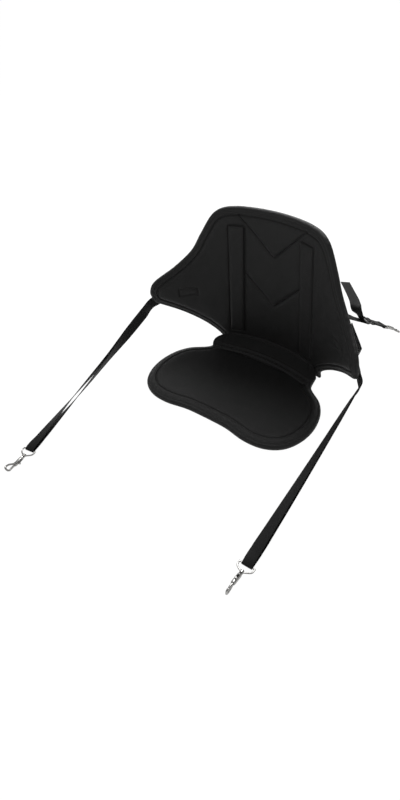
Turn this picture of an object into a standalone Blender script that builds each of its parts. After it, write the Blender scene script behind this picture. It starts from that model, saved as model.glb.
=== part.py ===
"""Folding kayak seat: a moulded seat pad and a winged back rest joined by a padded hinge web.

Two stiffening stays stand in sleeves behind the back rest.  Four webbing straps reach
out to swivel bolt snaps: the front pair is doubled through its snap's eye and adjusted
behind the wings, the rear pair is adjusted in a ladder lock between the back rest and the snap.

Metres, +Z up.  The seat faces -Y.  The origin lies under the middle of the seat pad.
"""
import math

import bmesh
import bpy
import numpy as np
from mathutils import Matrix, Vector

# Fits between pieces
GAP = 0.0003                 # clearance between pieces that touch

# Seat pad
SEAT_HALF_WIDTH = 0.208
SEAT_DEPTH = 0.272           # front lobes to hinge crease
HINGE_Y = 0.1375             # hinge crease behind the origin
SEAT_WIDEST_Y = -0.0305      # where the pad is widest
SEAT_LOBE_X = 0.103          # the two front lobes
SEAT_NOTCH = 0.0105          # hollow of the front edge between the lobes
SEAT_EDGE = 0.0115           # thickness at the rim
SEAT_CROWN = 0.0185          # thickness in the middle
SEAT_GROOVE_INSET = 0.021    # pressed groove, from the rim

# Back rest, measured on its developed rear face: across from the centre line, up from the foot
WAIST = 0.1445               # half width at the foot
WAIST_RISE = 0.020
WING = 0.3075                # half width at the wing tips
WING_RISE = 0.165
WING_ROUND = 0.030           # how far the rounded tip reaches above and below WING_RISE
SHOULDER = 0.198
SHOULDER_DROP = 0.1035        # below the top edge
TOP = 0.148                  # half width where the top corners start
TOP_CORNER = 0.026           # height of the rounded top corners
BACK_HEIGHT = 0.3632
BACK_RADIUS_LOW = 0.354      # plan radius of the wrap at the foot
BACK_RADIUS_HIGH = 0.287     # and at the top
BACK_LEAN = math.radians(-5.7)  # forwards, over the seat pad
BACK_SETBACK = 0.031         # rear face behind the hinge crease
BACK_FOOT = 0.006            # height of the foot above the ground
BACK_EDGE = 0.010            # thickness at the rim
BACK_CROWN = 0.0145          # thickness in the middle
BACK_GROOVE_INSET = 0.016
EDGE_ROUND = 0.003           # rounded rim of both pads
CROWN_REACH = 0.020          # distance from the rim over which a pad thickens
GROOVE_RADIUS = 0.0022
GROOVE_LIFT = 0.0004         # centre of the groove's round section above the face
GROOVE_STEP = 0.013          # facet length along a groove

# Stay pockets pressed into the back rest as two upright ribs
RIB_FOOT, RIB_FOOT_RISE = 0.0985, 0.046
RIB_HEAD, RIB_HEAD_RISE = 0.088, BACK_HEIGHT - 0.0385
RIB_WIDTH = 0.036
RIB_RAISE = 0.0028
STAY_WIDTH = 0.022
STAY_THICKNESS = 0.0026
STAY_MARGIN = 0.012          # stay shorter than its rib at each end
SLEEVE_WIDTH = 0.038
SLEEVE_THICKNESS = 0.0012

# Chevron grooves: rise of the point, half width, rise of the arms' outer ends
CHEVRONS = ((BACK_HEIGHT - 0.101, 0.0815, BACK_HEIGHT - BACK_GROOVE_INSET), (0.137, 0.070, 0.211))
CHEVRON_BLUNT = 0.05         # share of the half width left blunt at the point

# Hinge web
WEB_HALF_LOW = 0.124         # half width on the seat pad
WEB_HALF_HIGH = 0.125        # and on the back rest
WEB_THICKNESS = 0.003
WEB_MITRE = 0.8              # lift of its bend at the back rest, in thicknesses
WEB_ON_SEAT = 0.056          # reach over the seat pad
WEB_ON_BACK = 0.034          # reach up the back rest
WEB_SEAM = 0.008             # part of each reach that lies flat and is sewn
HINGE_GAP = 0.0015           # between the seat pad's rear edge and the back rest

# Webbing
WEBBING = 0.025
WEBBING_THICKNESS = 0.0014
SEWN_INNER, SEWN_OUTER = 0.192, 0.238   # stitched box on the wings
SEWN_RISE = 0.157
WING_EXIT = 0.292            # where the front strap leaves the wing
WING_EXIT_RISE = 0.137
LOCK_ON_WING = 0.222         # ladder lock behind the wing
ANCHOR_INNER = 0.042         # sewn part of the lock's anchor, inward of the stitched box
ANCHOR_OUTER = 0.016
WING_EASE = 0.0005           # extra clearance of the strap over the wing's curve
FRONT_TAIL = 0.055
FRONT_SAG = 0.004
LEG_SPREAD = 0.0032          # half distance of a front strap's two legs in mid run
LEG_CLOSE = 0.0018           # and where they leave the wing
REAR_SEWN_TOP, REAR_SEWN_FOOT = 0.236, 0.190
REAR_BEND = 0.022            # drop over which a rear strap turns away from the back rest
LINK_LENGTH = 0.050          # short rear strap, bar to bar

# Ladder lock buckle for the webbing
LOCK_LENGTH = 0.029
LOCK_RAIL = 0.0032           # side rails
LOCK_THICKNESS = 0.004
LOCK_BAR = 0.0032
LOCK_SLOT = 0.0040
LOCK_ROUND = 0.0008

# Swivel bolt snap, along its own axis from the eye's bar
EYE_WIRE = 0.0015            # radius
EYE_WIDTH = 0.0265           # clear width inside the eye
EYE_STRAIGHT = 0.008         # straight part of the eye's sides
EYE_LENGTH = 0.017           # bar to the middle of the boss end
BOSS_RADIUS = 0.0036
BOSS_LENGTH = 0.0052
STEM_RADIUS = 0.0019
RIVET_RADIUS = 0.0027
RIVET_THICKNESS = 0.0016
SWIVEL_CLEARANCE = 0.0003
BARREL_RADIUS = 0.0042
BARREL_LENGTH = 0.0255
BARREL_NECK = 0.0028         # radius where the barrel meets the boss
BORE_RADIUS = 0.00255
BORE_FLOOR = 0.0018          # wall behind the bore
BOLT_RADIUS = 0.0022
BOLT_TRAVEL = 0.009
GATE = 0.011                 # barrel mouth to hook nose
HOOK_WIRE = 0.0020           # radius
HOOK_DEPTH = 0.0133          # axis to the middle of the bow
HOOK_NOSE = 0.0072           # nose to the outer end of the bow
KNOB_PIN = 0.0011            # radius
KNOB_RADIUS = 0.0023
KNOB_HEIGHT = 0.0082
KNOB_THICKNESS = 0.0022
KNOB_FROM_MOUTH = 0.0085
SPRING_WIRE = 0.0003         # radius
SPRING_RADIUS = 0.0018
SPRING_TURNS = 4
ROUND_STEPS = 12             # facets round a turned piece

# Where the snaps lie: middle of the eye's bar, heading, climb and swivel turn of the hook
FRONT_LEFT_SNAP = ((-0.2405, -0.4080, BARREL_RADIUS), math.radians(-80.0), 0.0, 0.0)
FRONT_RIGHT_SNAP = ((0.2655, -0.3640, 0.0043), math.radians(-88.0), math.radians(11.4), math.radians(84.0))
REAR_SNAP = ((0.1830, 0.3712, 0.0336), math.radians(61.0), math.radians(-30.0), 0.0)
REAR_TAIL = ((0.1430, 0.3060, 0.0870), (0.1310, 0.3090, 0.1000), (0.1180, 0.3240, 0.1070),
             (0.0950, 0.3470, 0.1130), (0.0690, 0.3730, 0.1180))
REAR_TAIL_ACROSS = (0.77, 0.60, -0.20)

FORWARD = Vector((0.0, -math.cos(BACK_LEAN), math.sin(BACK_LEAN)))
UPWARD = Vector((0.0, math.sin(BACK_LEAN), math.cos(BACK_LEAN)))


def collection(name):
    """A new collection in the scene."""
    made = bpy.data.collections.new(name)
    bpy.context.scene.collection.children.link(made)
    return made


def material(name, colour, roughness, metallic=0.0):
    """A Principled material."""
    made = bpy.data.materials.new(name)
    made.use_nodes = True
    shader = made.node_tree.nodes["Principled BSDF"]
    shader.inputs["Base Color"].default_value = (*colour, 1.0)
    shader.inputs["Roughness"].default_value = roughness
    shader.inputs["Metallic"].default_value = metallic
    return made


def add_object(name, data, finish, where):
    """An object with one material in a collection."""
    obj = bpy.data.objects.new(name, data)
    where.objects.link(obj)
    if finish is not None:
        data.materials.append(finish)
    return obj


def as_cutter(obj):
    """Marks an object as a tool that only shapes others."""
    obj.hide_render = True
    obj.display_type = "WIRE"
    return obj


def boolean(obj, other, operation="DIFFERENCE"):
    """Joins or cuts an object with another."""
    step = obj.modifiers.new(other.name, "BOOLEAN")
    step.operation = operation
    step.object = other
    step.solver = "EXACT"


def smooth(points, per_span=4, closed=False):
    """Points along a Catmull-Rom curve through the given ones."""
    given = np.array([tuple(p) for p in points], float)
    if closed:
        padded = np.vstack([given[-1], given, given[0], given[1]])
    else:
        padded = np.vstack([2 * given[0] - given[1], given, 2 * given[-1] - given[-2]])
    step = np.linspace(0.0, 1.0, per_span, endpoint=False)[:, None]
    runs = []
    for a, b, c, d in zip(padded, padded[1:], padded[2:], padded[3:]):
        runs.append(0.5 * (2 * b + (c - a) * step + (2 * a - 5 * b + 4 * c - d) * step ** 2
                           + (3 * b - a - 3 * c + d) * step ** 3))
    if not closed:
        runs.append(given[-1][None])
    return np.vstack(runs)


def resampled(points, spacing):
    """The same line with evenly spaced points, at most the given distance apart."""
    line = np.array([tuple(p) for p in points], float)
    run = np.concatenate([[0.0], np.cumsum(np.linalg.norm(np.diff(line, axis=0), axis=1))])
    count = max(2, int(math.ceil(run[-1] / spacing)) + 1)
    at = np.linspace(0.0, run[-1], count)
    return np.stack([np.interp(at, run, line[:, i]) for i in range(line.shape[1])], axis=1)


def mirrored_loop(half):
    """A closed outline from its right half, which runs from one point on the axis to the other."""
    left = half[::-1].copy()
    left[:, 0] *= -1
    loop = np.vstack([half, left])
    keep = np.linalg.norm(loop - np.roll(loop, 1, axis=0), axis=1) > 1e-6
    return loop[keep]


def inset(loop, distance):
    """A counter-clockwise closed outline moved inwards and evened out."""
    ring = resampled(np.vstack([loop, loop[:1]]), 0.003)[:-1]
    along = np.roll(ring, -1, axis=0) - np.roll(ring, 1, axis=0)
    along /= np.linalg.norm(along, axis=1)[:, None]
    ring = ring + distance * np.stack([-along[:, 1], along[:, 0]], axis=1)
    ring = np.array([point for point in ring if rim_distance(loop, *point) > 0.985 * distance])
    ring = resampled(np.vstack([ring, ring[:1]]), GROOVE_STEP)[:-1]
    return (np.roll(ring, 1, axis=0) + 2 * ring + np.roll(ring, -1, axis=0)) / 4


def rim_distance(loop, x, y):
    """Shortest distance from a point to an outline."""
    start, span = loop, np.roll(loop, -1, axis=0) - loop
    share = ((x - start[:, 0]) * span[:, 0] + (y - start[:, 1]) * span[:, 1]) / (span ** 2).sum(axis=1)
    near = start + np.clip(share, 0.0, 1.0)[:, None] * span
    return float(np.hypot(near[:, 0] - x, near[:, 1] - y).min())


def swell(loop, x, y, edge, crown):
    """Thickness of a pad that grows from its rim to its middle."""
    share = min(1.0, rim_distance(loop, x, y) / CROWN_REACH)
    return edge + (crown - edge) * share * share * (3 - 2 * share)


def loft_block(name, columns, rows, place, finish, where):
    """A closed block whose grid is placed by place(s, t, side), s and t from -1 to 1, side 0 or 1."""
    bm = bmesh.new()
    bmesh.ops.create_grid(bm, x_segments=columns, y_segments=rows, size=1.0)
    lifted = bmesh.ops.extrude_face_region(bm, geom=bm.faces[:])["geom"]
    for vert in lifted:
        if isinstance(vert, bmesh.types.BMVert):
            vert.co.z = 1.0
    bmesh.ops.recalc_face_normals(bm, faces=bm.faces)
    for vert in bm.verts:
        vert.co = place(vert.co.x, vert.co.y, vert.co.z)
    mesh = bpy.data.meshes.new(name)
    bm.to_mesh(mesh)
    bm.free()
    return add_object(name, mesh, finish, where)


def round_rim(obj, width, segments=2):
    """Rounds the sharp rim of a block."""
    step = obj.modifiers.new("rim", "BEVEL")
    step.width = width
    step.segments = segments
    step.limit_method = "ANGLE"
    step.angle_limit = math.radians(50.0)


def tube(name, points, radius, finish, where, closed=False, resolution=2):
    """A round wire along points, as a mesh with welded caps."""
    curve = bpy.data.curves.new(name, "CURVE")
    curve.dimensions = "3D"
    curve.bevel_depth = radius
    curve.bevel_resolution = resolution
    curve.use_fill_caps = not closed
    line = curve.splines.new("POLY")
    line.points.add(len(points) - 1)
    for point, co in zip(line.points, points):
        point.co = (*co, 1.0)
    line.use_cyclic_u = closed
    guide = bpy.data.objects.new(name + "_line", curve)
    where.objects.link(guide)
    mesh = solid_mesh(guide)
    bpy.data.objects.remove(guide)
    return add_object(name, mesh, finish, where)


def solid_mesh(obj):
    """The finished mesh of an object, welded and facing out."""
    bpy.context.view_layer.update()
    ready = obj.evaluated_get(bpy.context.evaluated_depsgraph_get())
    mesh = bpy.data.meshes.new_from_object(ready)
    bm = bmesh.new()
    bm.from_mesh(mesh)
    bmesh.ops.remove_doubles(bm, verts=bm.verts, dist=1e-6)
    bmesh.ops.recalc_face_normals(bm, faces=bm.faces)
    bm.to_mesh(mesh)
    bm.free()
    mesh.name = obj.name
    return mesh


def turned(name, profile, finish, where):
    """A solid turned about X from (x, radius) points that start and end on the axis."""
    mesh = bpy.data.meshes.new(name)
    edges = [(i, i + 1) for i in range(len(profile) - 1)]
    mesh.from_pydata([(x, radius, 0.0) for x, radius in profile], edges, [])
    obj = add_object(name, mesh, finish, where)
    step = obj.modifiers.new("turn", "SCREW")
    step.axis = "X"
    step.steps = step.render_steps = ROUND_STEPS
    step.use_merge_vertices = True
    step.merge_threshold = 1e-6
    return obj


def rod(name, radius, start, end, finish, where):
    """A plain cylinder between two points."""
    start, end = Vector(start), Vector(end)
    bm = bmesh.new()
    bmesh.ops.create_cone(bm, cap_ends=True, segments=ROUND_STEPS, radius1=radius, radius2=radius,
                          depth=(end - start).length)
    turn = (end - start).to_track_quat("Z", "Y").to_matrix().to_4x4()
    bmesh.ops.transform(bm, matrix=Matrix.Translation((start + end) / 2) @ turn, verts=bm.verts)
    mesh = bpy.data.meshes.new(name)
    bm.to_mesh(mesh)
    bm.free()
    return add_object(name, mesh, finish, where)


def box(name, low, high, finish, where):
    """A box between two corners."""
    bm = bmesh.new()
    bmesh.ops.create_cube(bm, size=1.0)
    for vert in bm.verts:
        for axis in range(3):
            vert.co[axis] = low[axis] + (vert.co[axis] + 0.5) * (high[axis] - low[axis])
    mesh = bpy.data.meshes.new(name)
    bm.to_mesh(mesh)
    bm.free()
    return add_object(name, mesh, finish, where)


def strip(name, stations, finish, where, closed=False):
    """Webbing along (point, across) stations."""
    count = len(stations)
    points = [Vector(p) for p, _ in stations]
    bm = bmesh.new()
    pairs = []
    for i, (point, across) in enumerate(stations):
        before = points[i - 1] if closed or i else points[0]
        after = points[(i + 1) % count] if closed or i < count - 1 else points[i]
        along = (after - before).normalized()
        across = Vector(across)
        across = (across - along * across.dot(along)).normalized() * (WEBBING / 2)
        pairs.append((bm.verts.new(Vector(point) + across), bm.verts.new(Vector(point) - across)))
    for i in range(count if closed else count - 1):
        a, b = pairs[i], pairs[(i + 1) % count]
        bm.faces.new((a[0], a[1], b[1], b[0]))
    bmesh.ops.recalc_face_normals(bm, faces=bm.faces)
    mesh = bpy.data.meshes.new(name)
    bm.to_mesh(mesh)
    bm.free()
    obj = add_object(name, mesh, finish, where)
    step = obj.modifiers.new("webbing", "SOLIDIFY")
    step.thickness = WEBBING_THICKNESS
    step.offset = 0.0
    step.use_even_offset = True
    return obj


# The back rest's rear face and outline

def wrap(rise):
    """Curvature of the back rest in plan at a height on it."""
    low, high = 1 / BACK_RADIUS_LOW, 1 / BACK_RADIUS_HIGH
    return low + (high - low) * rise / BACK_HEIGHT


def back_normal(across, rise):
    """Direction out of the back rest's front face."""
    turn = across * wrap(rise)
    return Vector((-math.sin(turn), 0.0, 0.0)) + FORWARD * math.cos(turn)


def back_tangent(across, rise):
    """Direction along the back rest's face away from the left."""
    turn = across * wrap(rise)
    return Vector((math.cos(turn), 0.0, 0.0)) + FORWARD * math.sin(turn)


def back_rising(across, rise):
    """Direction up the back rest's face."""
    step = 0.001
    return (back_point(across, rise + step) - back_point(across, rise - step)).normalized()


def back_point(across, rise, out=0.0):
    """A point at a distance out of the back rest's rear face, towards the front."""
    bend = wrap(rise)
    turn = across * bend
    foot = Vector((math.sin(turn) / bend, HINGE_Y + BACK_SETBACK, BACK_FOOT))
    return foot + UPWARD * rise + FORWARD * ((1 - math.cos(turn)) / bend) + back_normal(across, rise) * out


def lerp(a, b, share):
    """A point between two, sideways by an optional third value."""
    return tuple(p + (q - p) * share for p, q in zip(a, b))


def back_half_outline():
    """Right half of the back rest's outline from the foot to the top, as (across, rise)."""
    waist = (WAIST + 0.001, WAIST_RISE)
    tip_low = (WING - 0.0115, WING_RISE - WING_ROUND)
    tip_high = (WING - 0.0155, WING_RISE + WING_ROUND)
    shoulder = (SHOULDER, BACK_HEIGHT - SHOULDER_DROP)
    corner = (TOP, BACK_HEIGHT - TOP_CORNER)
    under = [lerp(waist, tip_low, 0.25), lerp(waist, tip_low, 0.6)]
    under = [(under[0][0] - 0.004, under[0][1] + 0.005), (under[1][0] - 0.003, under[1][1] + 0.004)]
    over = lerp(tip_high, shoulder, 0.5)
    points = [(WAIST, 0.0), waist, *under, tip_low, (WING - 0.001, WING_RISE - WING_ROUND * 0.3),
              (WING - 0.001, WING_RISE + WING_ROUND * 0.3), tip_high, (over[0] - 0.003, over[1] - 0.004),
              shoulder, lerp(shoulder, corner, 0.5), corner,
              (TOP - TOP_CORNER * 0.7, BACK_HEIGHT - TOP_CORNER * 0.38),
              (TOP - TOP_CORNER * 1.5, BACK_HEIGHT - TOP_CORNER * 0.1), (TOP - TOP_CORNER * 2.6, BACK_HEIGHT)]
    return smooth(points, 2)


def seat_rear_edge(x):
    """Rear edge of the seat pad, which follows the back rest's face at the hinge."""
    level = SEAT_CROWN - BACK_FOOT
    across = math.asin(x * wrap(level)) / wrap(level)
    return back_point(across, level, BACK_CROWN).y - HINGE_GAP


def seat_half_outline():
    """Right half of the seat pad's outline from the front to the hinge, as (x, y)."""
    front = HINGE_Y - SEAT_DEPTH
    wide = (SEAT_HALF_WIDTH, SEAT_WIDEST_Y)
    lobe = (SEAT_LOBE_X, front)
    heel = (WAIST - 0.0115, seat_rear_edge(WAIST - 0.0115))
    points = [(0.0, front + SEAT_NOTCH), (SEAT_LOBE_X / 2, front + SEAT_NOTCH * 0.85), lobe,
              (lobe[0] + (wide[0] - lobe[0]) * 0.42, front + 0.004),
              (lobe[0] + (wide[0] - lobe[0]) * 0.75, front + (wide[1] - front) * 0.24),
              (wide[0] - 0.0065, front + (wide[1] - front) * 0.58), wide,
              (wide[0] - 0.0075, wide[1] + (heel[1] - wide[1]) * 0.29),
              (wide[0] - 0.0275, wide[1] + (heel[1] - wide[1]) * 0.52),
              (heel[0] + 0.016, wide[1] + (heel[1] - wide[1]) * 0.685),
              (heel[0] + 0.006, wide[1] + (heel[1] - wide[1]) * 0.78), heel]
    curve = smooth(points, 6)
    rear = [(x, seat_rear_edge(x)) for x in np.linspace(heel[0], 0.0, 12)[1:]]
    return curve, np.array(rear)


SEAT_SIDE, SEAT_REAR = seat_half_outline()
SEAT_LOOP = mirrored_loop(np.vstack([SEAT_SIDE, SEAT_REAR]))
BACK_SIDE = back_half_outline()
BACK_LOOP = mirrored_loop(np.vstack([[(0.0, 0.0)], BACK_SIDE, [(0.0, BACK_HEIGHT)]]))


def seat_top(x, y):
    """Height of the seat pad's top face."""
    return swell(SEAT_LOOP, x, y, SEAT_EDGE, SEAT_CROWN)


def back_front(across, rise):
    """Thickness of the back rest."""
    return swell(BACK_LOOP, across, rise, BACK_EDGE, BACK_CROWN)


def seat_place(s, t, side):
    """Seat pad grid: columns run from the front edge to the rear edge."""
    widest = int(np.argmax(SEAT_SIDE[:, 0]))
    x = SEAT_HALF_WIDTH * 0.996 * math.sin(s * math.pi / 2)
    reach = abs(x)
    front = float(np.interp(reach, SEAT_SIDE[:widest + 1, 0], SEAT_SIDE[:widest + 1, 1]))
    rear_line = np.vstack([SEAT_SIDE[widest:], SEAT_REAR])[::-1]
    rear = float(np.interp(reach, rear_line[:, 0], rear_line[:, 1]))
    y = front + (rear - front) * (math.sin(t * math.pi / 2) + 1) / 2
    return Vector((x, y, side * seat_top(x, y)))


def back_place(s, t, side):
    """Back rest grid: rows run from the left rim to the right rim."""
    half, rise = BACK_SIDE[int(round((t + 1) / 2 * (len(BACK_SIDE) - 1)))]
    across = half * (0.72 * s + 0.28 * math.sin(s * math.pi / 2))
    return back_point(across, rise, side * back_front(across, rise))


def rib_centre(rise):
    """Centre line of a rib."""
    return RIB_FOOT + (RIB_HEAD - RIB_FOOT) * (rise - RIB_FOOT_RISE) / (RIB_HEAD_RISE - RIB_FOOT_RISE)


def upright_bar(name, hand, width, foot, head, back, front, finish, where):
    """A flat bar along a rib, between two distances out of the rear face."""
    def place(s, t, side):
        rise = foot + (head - foot) * (t + 1) / 2
        across = hand * rib_centre(rise) + s * width / 2
        return back_point(across, rise, back + (front - back) * side)
    return loft_block(name, 2, 12, place, finish, where)


# Pads, stays and hinge web

def build_pads(parts, cutters, finishes):
    """Seat pad and back rest with their pressed grooves and ribs, the stays and their sleeves."""
    fabric = finishes["fabric"]
    seat = loft_block("seat_pad", 20, 12, seat_place, fabric, parts)
    round_rim(seat, EDGE_ROUND)
    ring = [(x, y, seat_top(x, y) + GROOVE_LIFT) for x, y in inset(SEAT_LOOP, SEAT_GROOVE_INSET)]
    boolean(seat, as_cutter(tube("seat_groove", ring, GROOVE_RADIUS, None, cutters, closed=True, resolution=1)))

    back = loft_block("back_pad", 20, len(BACK_SIDE) - 1, back_place, fabric, parts)
    round_rim(back, EDGE_ROUND)
    for side_name, hand in (("left", -1), ("right", 1)):
        raised = upright_bar("rib_" + side_name, hand, RIB_WIDTH, RIB_FOOT_RISE, RIB_HEAD_RISE,
                             BACK_CROWN / 2, BACK_CROWN + RIB_RAISE, None, cutters)
        boolean(back, as_cutter(raised), "UNION")
    ring = [back_point(u, v, back_front(u, v) + GROOVE_LIFT) for u, v in inset(BACK_LOOP, BACK_GROOVE_INSET)]
    boolean(back, as_cutter(tube("back_groove", ring, GROOVE_RADIUS, None, cutters, closed=True, resolution=1)))
    for number, (point, half, ends) in enumerate(CHEVRONS):
        shares = np.linspace(CHEVRON_BLUNT, 1.0, 6)
        arm = [(half * s, point + (ends - point) * abs(s)) for s in (*-shares[::-1], *shares)]
        line = [back_point(u, v, back_front(u, v) + GROOVE_LIFT) for u, v in arm]
        name = f"chevron_{number}"
        boolean(back, as_cutter(tube(name, line, GROOVE_RADIUS, None, cutters, resolution=1)))
    depth = STAY_THICKNESS + 2 * GAP
    for side_name, hand in (("left", -1), ("right", 1)):
        foot, head = RIB_FOOT_RISE + STAY_MARGIN, RIB_HEAD_RISE - STAY_MARGIN
        slot = upright_bar("stay_slot_" + side_name, hand, STAY_WIDTH + 2 * GAP, foot - GAP, head + GAP,
                           -depth, depth, None, cutters)
        boolean(back, as_cutter(slot))
        upright_bar("stay_" + side_name, hand, STAY_WIDTH, foot, head, GAP, GAP + STAY_THICKNESS,
                    finishes["stay"], parts)
        upright_bar("stay_sleeve_" + side_name, hand, SLEEVE_WIDTH, RIB_FOOT_RISE, RIB_HEAD_RISE,
                    -GAP - SLEEVE_THICKNESS, -GAP, finishes["webbing"], parts)

    def web_place(s, t, side):
        low_x = s * WEB_HALF_LOW
        high_u = s * WEB_HALF_HIGH
        lift = GAP + WEB_THICKNESS * side
        edge = seat_rear_edge(low_x)
        seam = [Vector((low_x, edge - d, seat_top(low_x, edge - d) + lift))
                for d in (WEB_ON_SEAT, WEB_ON_SEAT - WEB_SEAM)]
        rises = (WEB_ON_BACK - WEB_SEAM, WEB_ON_BACK)
        seam += [back_point(high_u, r, back_front(high_u, r) + lift) for r in rises]
        seam[2] = seam[2] + UPWARD * (WEB_THICKNESS * WEB_MITRE * side)
        run = np.concatenate([[0.0], np.cumsum([(b - a).length for a, b in zip(seam, seam[1:])])])
        return Vector([float(np.interp((t + 1) / 2 * run[-1], run, [p[i] for p in seam])) for i in range(3)])

    web = loft_block("hinge_web", 14, 10, web_place, finishes["web"], parts)
    round_rim(web, WEB_THICKNESS * 0.3, 1)


# Ladder lock: +X towards the fixed loop, the running strap comes and leaves on the -X side

LOCK_FIXED_BAR = LOCK_LENGTH / 2 - LOCK_BAR / 2
LOCK_TEETH_BAR = LOCK_FIXED_BAR - 2 * (LOCK_BAR + LOCK_SLOT) + LOCK_BAR * 0.4
LOCK_OUTER_WIDTH = WEBBING + 4 * GAP + 2 * LOCK_RAIL
LOOP_RADIUS = LOCK_THICKNESS / 2 + GAP + WEBBING_THICKNESS / 2


def lock_slots():
    """Start and end of the three slots along the lock."""
    fixed = (LOCK_FIXED_BAR - LOCK_BAR / 2 - LOCK_SLOT, LOCK_FIXED_BAR - LOCK_BAR / 2)
    inner = (LOCK_TEETH_BAR + LOCK_BAR / 2, LOCK_TEETH_BAR + LOCK_BAR / 2 + LOCK_SLOT)
    outer = (LOCK_TEETH_BAR - LOCK_BAR / 2 - LOCK_SLOT, LOCK_TEETH_BAR - LOCK_BAR / 2)
    return fixed, inner, outer


def lock_mesh(finish, scratch):
    """Mesh of the ladder lock."""
    half = LOCK_OUTER_WIDTH / 2
    body = box("ladder_lock", (-LOCK_LENGTH / 2, -half, -LOCK_THICKNESS / 2),
               (LOCK_LENGTH / 2, half, LOCK_THICKNESS / 2), finish, scratch)
    clear = half - LOCK_RAIL
    tools = []
    for number, (start, end) in enumerate(lock_slots()):
        slot = box(f"lock_slot_{number}", (start, -clear, -LOCK_THICKNESS), (end, clear, LOCK_THICKNESS),
                   None, scratch)
        boolean(body, slot)
        tools.append(slot)
    round_rim(body, LOCK_ROUND, 1)
    mesh = solid_mesh(body)
    for obj in [body, *tools]:
        bpy.data.objects.remove(obj)
    return mesh


def lock_weave():
    """Side view of the running strap through the lock, as (x, z), from the load side to the tail."""
    _, inner, outer = lock_slots()
    under = -LOCK_THICKNESS / 2 - GAP - WEBBING_THICKNESS / 2
    load = under - WEBBING_THICKNESS - 2 * GAP
    over = -under + GAP
    middle_in, middle_out = sum(inner) / 2, sum(outer) / 2
    rise = WEBBING_THICKNESS
    corners = [(-LOCK_LENGTH, load - GAP), (-LOCK_LENGTH / 2, load), (middle_out, load), (LOCK_TEETH_BAR, load),
               (middle_in - 0.0003, load + 0.0009), (middle_in + 0.0005, load + 0.0026), (middle_in, 0.0),
               (middle_in - 0.0003, over - rise), (LOCK_TEETH_BAR + LOCK_BAR * 0.45, over),
               (LOCK_TEETH_BAR - LOCK_BAR * 0.45, over), (middle_out + 0.0003, over - rise), (middle_out, 0.0),
               (middle_out - 0.0005, under + 0.0010), (middle_out - 0.0024, under),
               (-LOCK_LENGTH / 2, under - GAP / 2)]
    return corners


# Swivel bolt snap: X along its axis from the eye's bar, Y across in the hook's plane

BOSS_START = EYE_LENGTH - 0.0018
BOSS_END = BOSS_START + BOSS_LENGTH
BARREL_START = BOSS_END + SWIVEL_CLEARANCE
BARREL_END = BARREL_START + BARREL_LENGTH
NOSE = BARREL_END + GATE
BORE_START = BARREL_START + BORE_FLOOR
KNOB_AT = BARREL_END - KNOB_FROM_MOUTH
BOLT_BACK = BORE_START + 2 * GAP + BOLT_TRAVEL + 0.0028
BOLT_FRONT = NOSE - GAP
EYE_HALF = EYE_WIDTH / 2 + EYE_WIRE


def eye_mesh(finish, scratch):
    """Mesh of the swivel eye: a wire bow with a bored boss."""
    corner = EYE_WIRE * 1.4
    right = [(0.0, EYE_HALF - corner), (corner * 0.35, EYE_HALF - corner * 0.35), (corner, EYE_HALF),
             (EYE_STRAIGHT, EYE_HALF - 0.0004), (EYE_STRAIGHT + 0.0035, EYE_HALF - 0.0030),
             (EYE_LENGTH - 0.0014, BOSS_RADIUS + 0.0022), (EYE_LENGTH + 0.0008, BOSS_RADIUS * 0.5)]
    loop = [(x, y, 0.0) for x, y in right] + [(x, -y, 0.0) for x, y in reversed(right)]
    bow = tube("swivel_eye", loop, EYE_WIRE, finish, scratch, closed=True)
    boss = rod("eye_boss", BOSS_RADIUS, (BOSS_START, 0, 0), (BOSS_END, 0, 0), None, scratch)
    hole = rod("eye_hole", STEM_RADIUS + SWIVEL_CLEARANCE, (BOSS_START - 0.004, 0, 0), (BOSS_END + 0.004, 0, 0),
               None, scratch)
    boolean(bow, boss, "UNION")
    boolean(bow, hole)
    mesh = solid_mesh(bow)
    for obj in (bow, boss, hole):
        bpy.data.objects.remove(obj)
    return mesh


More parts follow.
